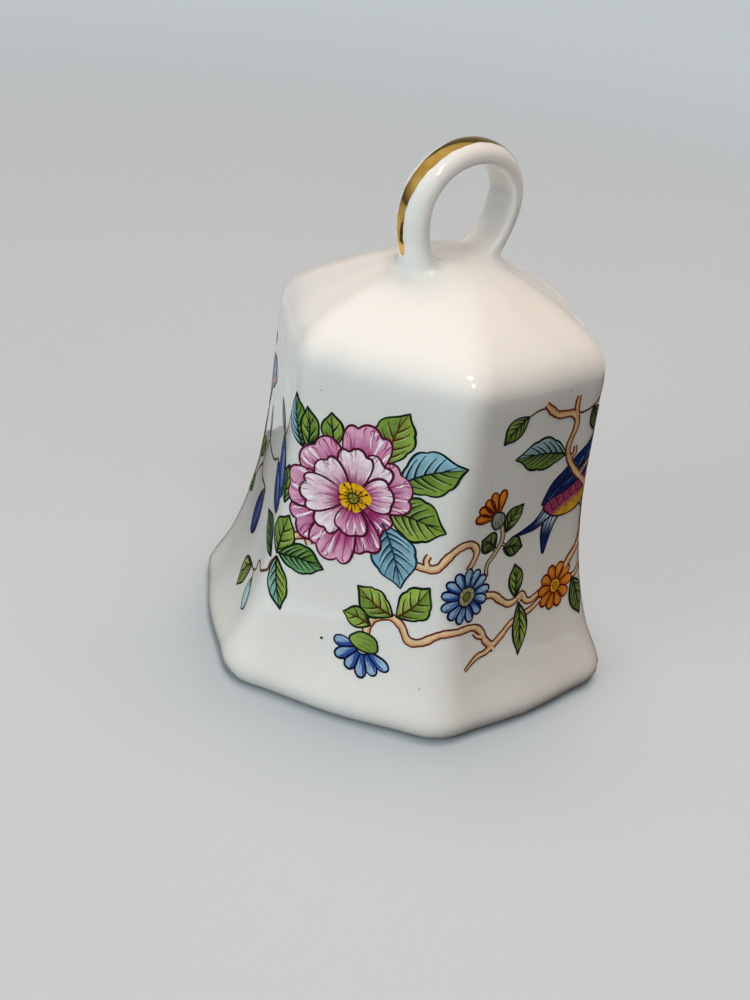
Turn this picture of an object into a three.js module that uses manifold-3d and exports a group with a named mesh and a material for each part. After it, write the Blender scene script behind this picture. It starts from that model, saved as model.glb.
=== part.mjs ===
// A small porcelain hand bell: a six-sided, waisted shell with a low faceted crown and a loop handle
// on the crown. Inside hang a wire staple set in a dab of cement, a three-link chain and a
// pear-shaped china clapper threaded on a wire pin.
// Millimetres, +Z up. The origin is the centre of the rim's resting plane. Two opposite flat sides
// face -Y and +Y, so the corners lie at 0, 60, 120 ... degrees from +X, and the loop handle stands
// across the corners at 60 and 240 degrees.
import * as THREE from "three";
import { mergeVertices } from "three/addons/utils/BufferGeometryUtils.js";
import Module from "manifold-3d";

const wasm = await Module();
wasm.setup();
const { smoothstep, degToRad } = THREE.MathUtils;

// ---------- shell dimensions ----------
const WALL = 2.4; // china wall, square to a flat side
const SHOULDER_Z = 57.5; // where the sides turn into the crown
const CROWN_Z = 70.9; // top of the crown on the axis
const CEILING_Z = 67.6; // underside of the crown on the axis
const LIP_Z = 2.8; // level of the lip's widest swell; the even wall starts here

// The shell's tables are [corner radius, height].
// Outside of the crown, from the axis out towards the shoulder.
const CROWN = [
  [0, CROWN_Z], [3.8, 70.6], [7.55, 69.8], [11.1, 68.6],
  [14.85, 67.0], [18.7, 65.2], [22.45, 63.2], [25.6, 61.2],
];
// Outside of the walls, downwards: rounded shoulder, drawn-in waist, swelling lip.
const SIDES = [
  [27.2, 59.8], [28.15, 58.6], [28.8, 57.3], [29.05, 55.6], [29.0, 52.0], [28.95, 46.0],
  [29.05, 39.0], [29.4, 32.0], [30.2, 25.5], [31.3, 20.0], [32.5, 15.5], [33.9, 11.5],
  [35.5, 8.0], [37.25, 5.0], [38.25, LIP_Z], [38.05, 1.4], [37.3, 0.5], [36.3, 0.0],
];
const RIM_INNER_EDGE = [34.9, 0.0]; // the flat resting edge ends here
// Inside of the lip, upwards.
const LIP_INSIDE = [[34.6, 0.4], [34.8, 1.4]];
// Underside of the crown, from the shoulder in to the axis.
const CEILING = [
  [24.4, 58.6], [22.4, 60.8], [19.6, 62.6], [15.6, 64.6],
  [11.4, 66.2], [7.0, 67.2], [0, CEILING_Z],
];

// The six-sided section: each sixth has a rounded corner, then points along a bowed side.
const SIXTH = Math.PI / 3;
const SECTOR_POINTS = 8;
const CORNER_POINTS = 4;
const MAX_FILLET = 0.8; // largest corner rounding, as a share of the corner radius
const LOW_ZONE_Z = 18; // below this the corners and sides grow rounder towards the rim
const SIDE_BOW = { base: 0.0155, low: 0.009 }; // shares of the corner radius
// Corner rounding as shares of the corner radius: plain, added at the rim, added at the crown.
const OUTER_FILLET = { base: 0.19, low: 0.035, crown: 0.3 };
const INNER_FILLET = { base: 0.13, low: 0.05, min: 3.6 }; // min in millimetres
const CEILING_FILLET = { base: 0.2, crown: 0.4, fadeHeight: 10 };
const LIP_BLEND_Z = 2.9; // below this the inside corners ease into the outside ones

// ---------- handle dimensions ----------
const HANDLE_AZIMUTH = 60; // degrees
const LOOP = {
  halfWidth: 10.5, // of the centre line
  widestZ: 78.4,
  rise: 8.9, // from the widest level to the top
  footZ: 67.8,
  footNear: 4.9, // where the limb on the 240 degree side meets the crown
  footFar: 3.6, // the other limb leans in a little more
  footSweep: (Math.PI / 2) * 0.74, // angle each limb turns through below the widest level
  lean: 0.04, // sideways shift towards the far limb, per millimetre above leanFromZ
  leanFromZ: 70,
};
const BAND = {
  width: 6.6,
  thickness: 3.4,
  edge: 0.9, // thickness at the edges, before the half oval begins
  cornerStart: 0.8, // the softened corners, measured in from each edge
  cornerInset: 0.2,
  cornerDepth: 0.24,
};
const FOOT_OVAL = 0.5; // the foot's width over its length
const FOOT_GAP = 0.3; // between the foot and the crown
// Foot flare, [half length, height].
const FOOT_PROFILE = [
  [0, 66.0], [8.6, 66.0], [8.6, 69.3], [7.4, 70.2], [6.0, 71.0], [4.4, 71.5], [2.6, 71.7], [0, 71.75],
];
const TRIM_R = 26.6; // corner radius of the cutter below the crown
const TRIM_BOTTOM_Z = 52;

// ---------- hanging parts: dimensions ----------
const STAPLE_WIRE = 1.1;
const STAPLE_HALF_W = 1.9; // centre line
const STAPLE_Z = 62.1; // centre of the wire at the bottom of the staple's eye
const STAPLE_TOP_Z = 66.8;
const LEG_CLEARANCE = 0.15; // round each leg and above it, in the cement
const LEG_HOLE_DEPTH = 4;
// Dab of cement, [radius, height].
const CEMENT_PROFILE = [
  [0, 64.9], [2.6, 65.0], [3.6, 65.4], [4.4, 66.2], [4.9, 67.05], [0, 67.35],
];

const CHAIN_WIRE = 1.0;
const PLAY = 0.1; // slack between two hooked wires
const LINKS = 3;
const LINK_HALF_W = 1.7; // centre line
const LINK_LEN = 7.1; // centre line, end to end
const LINK_PITCH = LINK_LEN - CHAIN_WIRE - PLAY;
const CHAIN_TOP_Z = STAPLE_Z + (STAPLE_WIRE + CHAIN_WIRE) / 2 + PLAY; // first link's top centre line
const RING_SEGMENTS = 24;

const EYE_R = 1.7; // clapper pin's eye, centre line
const EYE_Z = CHAIN_TOP_Z - LINKS * LINK_PITCH - EYE_R;
const PIN_R = 0.5;
const SHANK_BOTTOM_Z = 11.6;
// Upset head of the pin, [radius, height].
const PIN_HEAD_PROFILE = [
  [0, 11.2], [0.9, 11.3], [1.35, 11.6], [1.35, 11.9], [1.1, 12.1], [0, 12.1],
];
const BORE_R = 0.58;
// Clapper, [radius, height], closed round the bore.
const BEAD_PROFILE = [
  [BORE_R, 12.3], [2.6, 12.5], [4.4, 13.4], [5.7, 15.0], [6.4, 17.0],
  [6.5, 19.0], [6.1, 21.2], [5.2, 23.4], [4.0, 25.6], [3.0, 27.6],
  [2.3, 29.4], [1.8, 31.0], [1.4, 31.7], [BORE_R, 31.9], [BORE_R, 12.3],
];

// ---------- geometry to solid and back ----------
// Makes a solid of a closed geometry, turning its faces outward if they point in.
function solid(geometry) {
  const bare = geometry.clone();
  bare.deleteAttribute("normal");
  bare.deleteAttribute("uv");
  const welded = mergeVertices(bare, 1e-4);
  const index = welded.index.array;
  const build = () =>
    new wasm.Manifold(
      new wasm.Mesh({
        numProp: 3,
        vertProperties: new Float32Array(welded.attributes.position.array),
        triVerts: new Uint32Array(index),
      }),
    );
  const first = build();
  if (first.volume() > 0) return first;
  for (let i = 0; i < index.length; i += 3) {
    [index[i + 1], index[i + 2]] = [index[i + 2], index[i + 1]];
  }
  return build();
}

function geometryOf(body) {
  const mesh = body.getMesh();
  const points = new Float32Array(mesh.numVert * 3);
  for (let i = 0; i < mesh.numVert; i++) {
    const start = i * mesh.numProp;
    points.set(mesh.vertProperties.subarray(start, start + 3), i * 3);
  }
  const geometry = new THREE.BufferGeometry();
  geometry.setAttribute("position", new THREE.BufferAttribute(points, 3));
  geometry.setIndex(new THREE.BufferAttribute(new Uint32Array(mesh.triVerts), 1));
  geometry.computeVertexNormals();
  return geometry;
}

// ---------- simple forms about +Z ----------
const vectors = (pairs) => pairs.map(([x, y]) => new THREE.Vector2(x, y));

const turning = (profile, segments) =>
  new THREE.LatheGeometry(vectors(profile), segments).rotateX(Math.PI / 2);

function rod({ radius, bottom, top, segments, x = 0 }) {
  const geometry = new THREE.CylinderGeometry(radius, radius, top - bottom, segments);
  return solid(geometry.rotateX(Math.PI / 2).translate(x, 0, (top + bottom) / 2));
}

// A ring of chain wire in the XZ plane.
const wireRing = (radius) =>
  new THREE.TorusGeometry(radius, CHAIN_WIRE / 2, 10, RING_SEGMENTS).rotateX(Math.PI / 2);

const sweep = (shape, extrudePath, steps) =>
  solid(new THREE.ExtrudeGeometry(shape, { steps, bevelEnabled: false, extrudePath }));

// ---------- six-sided forms ----------
// One point of a rounded hexagon with bowed sides; r is the sharp corner's radius.
function sectionPoint(index, { r, fillet, bow }) {
  const corner = SIXTH * (Math.floor(index / SECTOR_POINTS) % 6);
  const step = index % SECTOR_POINTS;
  const rounding = Math.min(fillet, r * MAX_FILLET);
  const centreR = r - rounding / Math.cos(SIXTH / 2);
  const onFillet = (azimuth, facing) => [
    centreR * Math.cos(azimuth) + rounding * Math.cos(facing),
    centreR * Math.sin(azimuth) + rounding * Math.sin(facing),
  ];
  if (step < CORNER_POINTS) {
    const turn = (2 * step) / (CORNER_POINTS - 1) - 1;
    return onFillet(corner, corner + (turn * SIXTH) / 2);
  }
  const facing = corner + SIXTH / 2;
  const start = onFillet(corner, facing);
  const end = onFillet(corner + SIXTH, facing);
  const along = (step - CORNER_POINTS + 1) / (SECTOR_POINTS - CORNER_POINTS + 1);
  const out = bow * r * 4 * along * (1 - along);
  return [
    start[0] + (end[0] - start[0]) * along + out * Math.cos(facing),
    start[1] + (end[1] - start[1]) * along + out * Math.sin(facing),
  ];
}

const lowness = (z) => 1 - smoothstep(z, 0, LOW_ZONE_Z);
const bowAt = (z) => SIDE_BOW.base + SIDE_BOW.low * lowness(z);

function outerSection([r, z]) {
  const { base, low, crown } = OUTER_FILLET;
  const up = smoothstep(z, SHOULDER_Z, CROWN_Z);
  return { r, z, fillet: r * (base + low * lowness(z) + crown * up), bow: bowAt(z) };
}

function innerSection([r, z]) {
  const { base, low, min } = INNER_FILLET;
  let fillet = Math.max(min, r * (base + low * lowness(z)));
  if (z > SHOULDER_Z) {
    const up = smoothstep(z, SHOULDER_Z, SHOULDER_Z + CEILING_FILLET.fadeHeight);
    fillet = r * (CEILING_FILLET.base + CEILING_FILLET.crown * up);
  }
  if (z < LIP_BLEND_Z) {
    const blend = smoothstep(z, 0, LIP_BLEND_Z);
    fillet = outerSection([r, z]).fillet * (1 - blend) + fillet * blend;
  }
  return { r, z, fillet, bow: bowAt(z) };
}

// Skins a run of sections. A lathe supplies the faces; each of its points moves to a section point.
function sixSided(sections) {
  const around = 6 * SECTOR_POINTS;
  const outline = vectors(sections.map(({ r, z }) => [r, z]));
  const geometry = new THREE.LatheGeometry(outline, around);
  for (let j = 0; j <= around; j++) {
    sections.forEach((section, i) => {
      const [x, y] = sectionPoint(j, section);
      geometry.attributes.position.setXYZ(j * sections.length + i, x, y, section.z);
    });
  }
  return solid(geometry);
}

// ---------- china ----------
function shell() {
  const wallAtCorner = WALL / Math.cos(SIXTH / 2);
  const walls = SIDES.filter(([, z]) => z >= LIP_Z && z <= SHOULDER_Z)
    .reverse()
    .map(([r, z]) => [r - wallAtCorner, z]);
  return sixSided([
    ...[...CROWN, ...SIDES, RIM_INNER_EDGE].map(outerSection),
    ...[...LIP_INSIDE, ...walls, ...CEILING].map(innerSection),
  ]);
}

// Centre line of the handle in the XZ plane: from the near foot (-X) over the top to the far foot.
class LoopLine extends THREE.Curve {
  getPoint(t, target = new THREE.Vector3()) {
    const side = t < 0.5 ? -1 : 1;
    const fromTop = Math.abs(t - 0.5) * 4; // 0 at the top, 1 at the widest level, 2 at the foot
    let x;
    let z;
    if (fromTop < 1) {
      const angle = (Math.PI / 2) * (1 - fromTop);
      x = LOOP.halfWidth * Math.cos(angle);
      z = LOOP.widestZ + LOOP.rise * Math.sin(angle);
    } else {
      const footX = side < 0 ? LOOP.footNear : LOOP.footFar;
      const angle = LOOP.footSweep * (fromTop - 1);
      const inward = (1 - Math.cos(angle)) / (1 - Math.cos(LOOP.footSweep));
      const down = Math.sin(angle) / Math.sin(LOOP.footSweep);
      x = LOOP.halfWidth - (LOOP.halfWidth - footX) * inward;
      z = LOOP.widestZ + (LOOP.footZ - LOOP.widestZ) * down;
    }
    return target.set(side * x + LOOP.lean * Math.max(z - LOOP.leanFromZ, 0), 0, z);
  }
}

// The handle's band: flat with softened corners inside the loop, half an oval outside.
// The sweep lays the shape's x across the band and its y towards the inside of the loop.
function band() {
  const edge = BAND.width / 2;
  const flat = BAND.thickness / 2;
  const outline = [];
  for (let i = 0; i <= 10; i++) {
    const angle = -Math.PI / 2 + (Math.PI * i) / 10;
    const bulge = (BAND.thickness - BAND.edge) * Math.cos(angle);
    outline.push([edge * Math.sin(angle), flat - BAND.edge - bulge]);
  }
  outline.push(
    [edge - BAND.cornerInset, flat - BAND.cornerDepth],
    [edge - BAND.cornerStart, flat],
    [-edge + BAND.cornerStart, flat],
    [-edge + BAND.cornerInset, flat - BAND.cornerDepth],
  );
  return sweep(new THREE.Shape(vectors(outline)), new LoopLine(), 40);
}

// The crown lifted by the gap, to cut the underside of the foot to the crown's own curve.
function crownCutter() {
  const lifted = [...CROWN, [TRIM_R, SIDES[0][1]]].map((point) => {
    const section = outerSection(point);
    return { ...section, z: section.z + FOOT_GAP };
  });
  const bottom = [lifted.at(-1), lifted[0]].map((section) => ({ ...section, z: TRIM_BOTTOM_Z }));
  return sixSided([...lifted, ...bottom]);
}

function handle() {
  const foot = solid(turning(FOOT_PROFILE, 28).scale(1, FOOT_OVAL, 1));
  const whole = geometryOf(band().add(foot)).rotateZ(degToRad(HANDLE_AZIMUTH));
  return solid(whole).subtract(crownCutter());
}

const clapperBead = () => solid(turning(BEAD_PROFILE, 36));

// ---------- cement and metal ----------
function cementDab() {
  const top = STAPLE_TOP_Z + LEG_CLEARANCE;
  const legHole = (x) =>
    rod({
      radius: STAPLE_WIRE / 2 + LEG_CLEARANCE,
      bottom: top - LEG_HOLE_DEPTH,
      top,
      segments: 16,
      x,
    });
  return solid(turning(CEMENT_PROFILE, 24))
    .subtract(legHole(STAPLE_HALF_W))
    .subtract(legHole(-STAPLE_HALF_W));
}

// Centre line of the staple: down the -X leg, round the eye and up the +X leg.
class StapleLine extends THREE.Curve {
  getPoint(t, target = new THREE.Vector3()) {
    const bendZ = STAPLE_Z + STAPLE_HALF_W;
    const leg = STAPLE_TOP_Z - bendZ;
    const arc = Math.PI * STAPLE_HALF_W;
    const along = t * (2 * leg + arc);
    if (along < leg) return target.set(-STAPLE_HALF_W, 0, STAPLE_TOP_Z - along);
    if (along > leg + arc) return target.set(STAPLE_HALF_W, 0, bendZ + (along - leg - arc));
    const angle = Math.PI + (along - leg) / STAPLE_HALF_W;
    const x = STAPLE_HALF_W * Math.cos(angle);
    return target.set(x, 0, bendZ + STAPLE_HALF_W * Math.sin(angle));
  }
}

function staple() {
  const outline = [];
  for (let i = 0; i < 10; i++) {
    const angle = (2 * Math.PI * i) / 10;
    outline.push([(STAPLE_WIRE / 2) * Math.cos(angle), (STAPLE_WIRE / 2) * Math.sin(angle)]);
  }
  const wire = new THREE.Shape(vectors(outline));
  wire.closePath();
  return sweep(wire, new StapleLine(), 26);
}

// A link about its own middle: a ring in the XZ plane with its upper and lower halves pulled apart.
function chainLink() {
  const ring = wireRing(LINK_HALF_W);
  const { position } = ring.attributes;
  const pull = LINK_LEN / 2 - LINK_HALF_W;
  const halfTurn = RING_SEGMENTS / 2;
  for (let i = 0; i < position.count; i++) {
    // every cross-section moves as one; the two at mid height stay
    const step = i % (RING_SEGMENTS + 1);
    if (step % halfTurn === 0) continue;
    position.setZ(i, position.getZ(i) + (step < halfTurn ? pull : -pull));
  }
  return solid(ring);
}

// The pin: an eye at the top, a straight shank and an upset head under the clapper.
function clapperPin() {
  const eye = solid(wireRing(EYE_R).translate(0, 0, EYE_Z));
  const shank = rod({ radius: PIN_R, bottom: SHANK_BOTTOM_Z, top: EYE_Z - EYE_R, segments: 20 });
  return eye.add(shank).add(solid(turning(PIN_HEAD_PROFILE, 20)));
}

// ---------- materials ----------
const china = new THREE.MeshStandardMaterial({ color: 0xf1efea, roughness: 0.12, metalness: 0 });
const brass = new THREE.MeshStandardMaterial({ color: 0xb8924a, roughness: 0.3, metalness: 1 });
const cement = new THREE.MeshStandardMaterial({ color: 0xd9d6cc, roughness: 0.9, metalness: 0 });

// ---------- assembly ----------
const bell = new THREE.Group();
const clapper = new THREE.Group();

function piece(name, body, material, parent = bell) {
  const mesh = new THREE.Mesh(geometryOf(body), material);
  mesh.name = name;
  parent.add(mesh);
  return mesh;
}

piece("bell_shell", shell(), china);
piece("loop_handle", handle(), china);
piece("crown_cement", cementDab(), cement);
piece("hanger_staple", staple(), brass);
for (let i = 0; i < LINKS; i++) {
  const link = piece(`chain_link_${i + 1}`, chainLink(), brass, clapper);
  link.position.z = CHAIN_TOP_Z - LINK_LEN / 2 - i * LINK_PITCH;
  // the first link and every second one after it stand square to the staple's eye
  if (i % 2 === 0) link.rotation.z = Math.PI / 2;
}
piece("clapper_pin", clapperPin(), brass, clapper);
piece("clapper_bead", clapperBead(), china, clapper);
bell.add(clapper);

export default bell;
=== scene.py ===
"""A six-sided bone china table bell, painted with flowers and a songbird, with a gilt loop handle.

It stands on z = 0 round the Z axis, with one corner of its hexagon on +X. The painting starts from
the front corner, 60 degrees clockwise of +X seen from above, and repeats on the opposite half.
Inside hang a staple, three chain links and a china clapper on a pin. Lengths are in millimetres
and make_object scales them to metres; the stage, lights and camera are in metres.
"""
import math

import bpy
import numpy as np
from mathutils import Matrix, Vector, geometry


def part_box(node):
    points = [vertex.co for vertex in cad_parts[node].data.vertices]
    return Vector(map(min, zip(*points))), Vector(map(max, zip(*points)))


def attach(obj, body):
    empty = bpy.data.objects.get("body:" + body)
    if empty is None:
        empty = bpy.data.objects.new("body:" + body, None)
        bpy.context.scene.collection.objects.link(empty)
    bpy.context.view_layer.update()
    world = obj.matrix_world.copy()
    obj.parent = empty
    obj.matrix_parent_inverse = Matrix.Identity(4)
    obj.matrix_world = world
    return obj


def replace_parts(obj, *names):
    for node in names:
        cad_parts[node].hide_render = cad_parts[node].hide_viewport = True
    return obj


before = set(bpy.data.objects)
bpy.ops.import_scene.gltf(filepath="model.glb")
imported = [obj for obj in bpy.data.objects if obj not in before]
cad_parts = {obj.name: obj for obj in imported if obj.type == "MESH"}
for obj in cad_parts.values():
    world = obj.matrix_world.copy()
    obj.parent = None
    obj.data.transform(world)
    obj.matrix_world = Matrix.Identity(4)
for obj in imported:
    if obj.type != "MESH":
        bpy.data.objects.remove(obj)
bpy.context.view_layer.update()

MM = 0.001
COS_30 = math.cos(math.pi / 6)
TAN_30 = math.tan(math.pi / 6)

# ------------------------------------------------------------------ small tools


def rgb(code):
    """Linear colour from an sRGB code such as "#1c2230"."""
    value = np.array([int(code[i : i + 2], 16) / 255 for i in (1, 3, 5)])
    return np.where(value <= 0.04045, value / 12.92, ((value + 0.055) / 1.055) ** 2.4)


def smooth(value):
    value = np.clip(value, 0.0, 1.0)
    return value * value * (3 - 2 * value)


def unit(vector):
    return vector / np.maximum(np.linalg.norm(vector, axis=-1, keepdims=True), 1e-12)


def polar(angle, radius):
    return np.stack([np.cos(angle) * radius, np.sin(angle) * radius], -1)


def left_of(direction):
    """The directions turned a quarter turn to the left in their plane."""
    return np.stack([-direction[..., 1], direction[..., 0]], -1)


def spline(x, y):
    """Natural cubic spline through (x, y), as a function of x."""
    count = len(x)
    step = np.diff(x)
    matrix = np.zeros((count, count))
    target = np.zeros(count)
    matrix[0, 0] = matrix[-1, -1] = 1
    for i in range(1, count - 1):
        matrix[i, i - 1 : i + 2] = step[i - 1], 2 * (step[i - 1] + step[i]), step[i]
        target[i] = 6 * ((y[i + 1] - y[i]) / step[i] - (y[i] - y[i - 1]) / step[i - 1])
    curve = np.linalg.solve(matrix, target)

    def value(query):
        i = np.clip(np.searchsorted(x, query) - 1, 0, count - 2)
        after, before, gap = x[i + 1] - query, query - x[i], step[i]
        return (
            curve[i] * after**3 / (6 * gap)
            + curve[i + 1] * before**3 / (6 * gap)
            + (y[i] / gap - curve[i] * gap / 6) * after
            + (y[i + 1] / gap - curve[i + 1] * gap / 6) * before
        )

    return value


def catmull(points, step, closed=False):
    """Points about step apart on a smooth curve; extra columns, such as a width, ride along."""
    given = np.asarray(points, float)
    count = len(given)
    out = []
    for i in range(count if closed else count - 1):
        start, end = given[i], given[(i + 1) % count]
        before = given[i - 1] if closed or i > 0 else 2 * given[0] - given[1]
        after = 2 * given[-1] - given[-2]
        if closed or i + 2 < count:
            after = given[(i + 2) % count]
        parts = max(1, int(math.ceil(np.linalg.norm((end - start)[:2]) / step)))
        for j in range(parts):
            t = j / parts
            out.append(
                0.5
                * (
                    2 * start
                    + (end - before) * t
                    + (2 * before - 5 * start + 4 * end - after) * t * t
                    + (3 * start - before - 3 * end + after) * t**3
                )
            )
    if not closed:
        out.append(given[-1])
    return np.array(out)


def ring_faces(rows, sides, closed=False):
    """Quads between rows of points that run round; closed joins the last row to the first."""
    faces = []
    for i in range(rows if closed else rows - 1):
        low, high = i * sides, ((i + 1) % rows) * sides
        for j in range(sides):
            k = (j + 1) % sides
            faces.append([low + j, low + k, high + k, high + j])
    return faces


def grid_normals(grid):
    """Normals of rows of points that run counter-clockwise: outward where the rows climb."""
    around = np.roll(grid, -1, 1) - np.roll(grid, 1, 1)
    return unit(np.cross(around, np.gradient(grid, axis=0)))


def make_object(
    name, points, faces, material, body, normals=None, corner_normals=None, colors=None
):
    mesh = bpy.data.meshes.new(name)
    mesh.from_pydata((np.asarray(points) * MM).tolist(), [], faces)
    mesh.update()
    for polygon in mesh.polygons:
        polygon.use_smooth = True
    if colors is not None:
        attribute = mesh.color_attributes.new("Col", "FLOAT_COLOR", "POINT")
        values = np.ones((len(points), 4), np.float32)
        values[:, :3] = colors
        attribute.data.foreach_set("color", values.ravel())
    if corner_normals is not None:
        mesh.normals_split_custom_set([tuple(n) for n in corner_normals])
    elif normals is not None:
        mesh.normals_split_custom_set_from_vertices([tuple(n) for n in normals])
    ob = bpy.data.objects.new(name, mesh)
    bpy.context.scene.collection.objects.link(ob)
    mesh.materials.append(material)
    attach(ob, body)
    return ob


# ------------------------------------------------------------------ the bell's form
# (corner radius, height) of the outside, rim to apex
OUTER = [
    (36.3, 0.0), (37.3, 0.5), (38.05, 1.4), (38.25, 2.8), (37.25, 5.0), (35.5, 8.0), (33.9, 11.5),
    (32.5, 15.5), (31.3, 20.0), (30.2, 25.5), (29.4, 32.0), (29.05, 39.0), (28.95, 46.0),
    (29.0, 52.0), (29.05, 55.6), (28.8, 57.3), (28.15, 58.6), (27.2, 59.8), (25.6, 61.2),
    (22.45, 63.2), (18.7, 65.2), (14.85, 67.0), (11.1, 68.6), (7.55, 69.8), (3.8, 70.6),
    (0.0, 70.9),
]
SHOULDER_Z, CROWN_Z = 57.5, OUTER[-1][1]
FLARE_TOP_Z = 18  # the rim's flare has died away at this height
WALL = 2.4
WALL_AT_CORNER = WALL / COS_30
CEILING_Z = 67.6
# (corner radius, height) of the inside, rim to ceiling; the wall follows the outside
INNER = [
    (34.9, 0.0), (34.6, 0.4), (34.8, 1.4),
    *((radius - WALL_AT_CORNER, z) for radius, z in OUTER if 2.8 <= z <= 57.4),
    (24.4, 58.6), (22.4, 60.8), (19.6, 62.6), (15.6, 64.6), (11.4, 66.2), (7.0, 67.2),
    (0.0, CEILING_Z),
]


def profile_curve(points):
    """Splines of radius and height along a profile that ends level on the axis, and its knots."""
    points = np.array(points, float)
    beyond = points[-2:-5:-1] * [-1, 1]  # the far side of the apex keeps it level
    full = np.vstack([points, beyond])
    gaps = np.linalg.norm(np.diff(full, axis=0), axis=1)
    knots = np.concatenate([[0], np.cumsum(gaps**0.75)])
    return spline(knots, full[:, 0]), spline(knots, full[:, 1]), knots[: len(points)]


def between_knots(knots, parts):
    pairs = zip(knots[:-1], knots[1:])
    return np.concatenate([np.linspace(a, b, parts, endpoint=False) for a, b in pairs])


outer_radius, outer_z, outer_knots = profile_curve(OUTER)


def climbing_table():
    """Tables of height, corner radius and distance climbed up the middle of a side."""
    place = np.linspace(0, outer_knots[-1], 9000)
    z, radius = outer_z(place), np.maximum(outer_radius(place), 0)
    keep = np.concatenate([[True], z[1:] > np.maximum.accumulate(z)[:-1]])
    z, radius = z[keep], radius[keep]
    climbed = np.cumsum(np.hypot(np.diff(z), np.diff(radius) * COS_30))
    return z, radius, np.concatenate([[0], climbed])


Z_TABLE, RADIUS_TABLE, CLIMB_TABLE = climbing_table()


def radius_at(z):
    return np.interp(z, Z_TABLE, RADIUS_TABLE)


def climb(z):
    return np.interp(z, Z_TABLE, CLIMB_TABLE)


def outer_form(radius, z):
    """Corner rounding, and how far the sides bow out as a share of the radius."""
    flare = 1 - smooth(z / FLARE_TOP_Z)
    crown = smooth((z - SHOULDER_Z) / (CROWN_Z - SHOULDER_Z))
    return radius * (0.19 + 0.035 * flare + 0.3 * crown), 0.0155 + 0.009 * flare


def inner_form(radius, z):
    flare = 1 - smooth(z / FLARE_TOP_Z)
    rounding = np.maximum(3.6, radius * (0.13 + 0.05 * flare))
    ceiling = np.maximum(radius * (0.2 + 0.4 * smooth((z - SHOULDER_Z) / 10)), 0.0)
    return np.where(z > 57.6, ceiling, rounding), 0.0155 + 0.009 * flare


def straight_half(radius, rounding):
    return radius / 2 - rounding * TAN_30


def section(turn, radius, rounding, bow):
    """A rounded hexagon with bowed sides; turn counts sixths from +X, corners at whole numbers."""
    rounding = np.minimum(rounding, 0.8 * radius)
    half = straight_half(radius, rounding)
    length = half + rounding * math.pi / 6
    side = np.floor(turn)
    along = (turn - side - 0.5) * 2 * length
    middle = radius * COS_30
    flat = np.abs(along) <= half
    share = np.clip(along / np.maximum(half, 1e-9), -1, 1)
    angle = (np.abs(along) - half) / np.maximum(rounding, 1e-9)
    sideways = np.where(flat, along, np.sign(along) * (half + rounding * np.sin(angle)))
    outward = np.where(
        flat,
        middle + bow * radius * (1 - share * share) ** 2,
        middle - rounding + rounding * np.cos(angle),
    )
    facing = (side + 0.5) * math.pi / 3
    return (
        outward * np.cos(facing) - sideways * np.sin(facing),
        outward * np.sin(facing) + sideways * np.cos(facing),
    )


def side_length(z):
    radius = radius_at(z)
    rounding, _ = outer_form(radius, z)
    return 2 * (straight_half(radius, rounding) + rounding * math.pi / 6)


def section_distance(x, y, radius, rounding, bow):
    """Distance in a level plane from the rounded hexagon, negative inside."""
    angle = np.arctan2(y, x)
    angle = angle - np.floor(angle / (math.pi / 3)) * math.pi / 3 - math.pi / 6
    reach = np.hypot(x, y)
    sideways, outward = reach * np.sin(angle), reach * np.cos(angle)
    rounding = np.minimum(rounding, 0.8 * radius)
    half = np.maximum(straight_half(radius, rounding), 1e-6)
    middle = radius * COS_30
    share = np.clip(sideways / half, -1, 1)
    from_side = outward - middle - bow * radius * (1 - share * share) ** 2
    from_corner = np.hypot(np.abs(sideways) - half, outward - (middle - rounding)) - rounding
    return np.where(np.abs(sideways) < half, from_side, from_corner)


def unevenness(points):
    """The cast wall is out of true by a few hundredths of a millimetre, in broad waves."""
    x, y, z = points[..., 0], points[..., 1], points[..., 2]
    waves = (
        np.sin(0.21 * x + 0.13 * z + 1.0)
        + np.sin(0.17 * y - 0.19 * z + 2.2)
        + 0.7 * np.sin(0.33 * x - 0.27 * y + 0.23 * z)
        + 0.35 * np.sin(0.61 * x + 0.47 * y - 0.39 * z + 0.7)
    )
    return 0.026 * waves * smooth((z - 3.0) / 5) * (1 - smooth((z - 52) / 7))


def true_point(turn, z):
    radius = radius_at(z)
    x, y = section(turn, radius, *outer_form(radius, z))
    return np.stack([x, y, z + 0 * x], -1)


def normal_of(surface, turn, z, step):
    around = surface(turn + step / 30, z) - surface(turn - step / 30, z)
    up = surface(turn, z + step) - surface(turn, z - step)
    return unit(np.cross(around, up))


def wall_point(turn, z):
    point = true_point(turn, z)
    return point + normal_of(true_point, turn, z, 0.02) * unevenness(point)[..., None]


# ------------------------------------------------------------------ materials
WHITE, BLACK = (1, 1, 1), (0, 0, 0)


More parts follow.
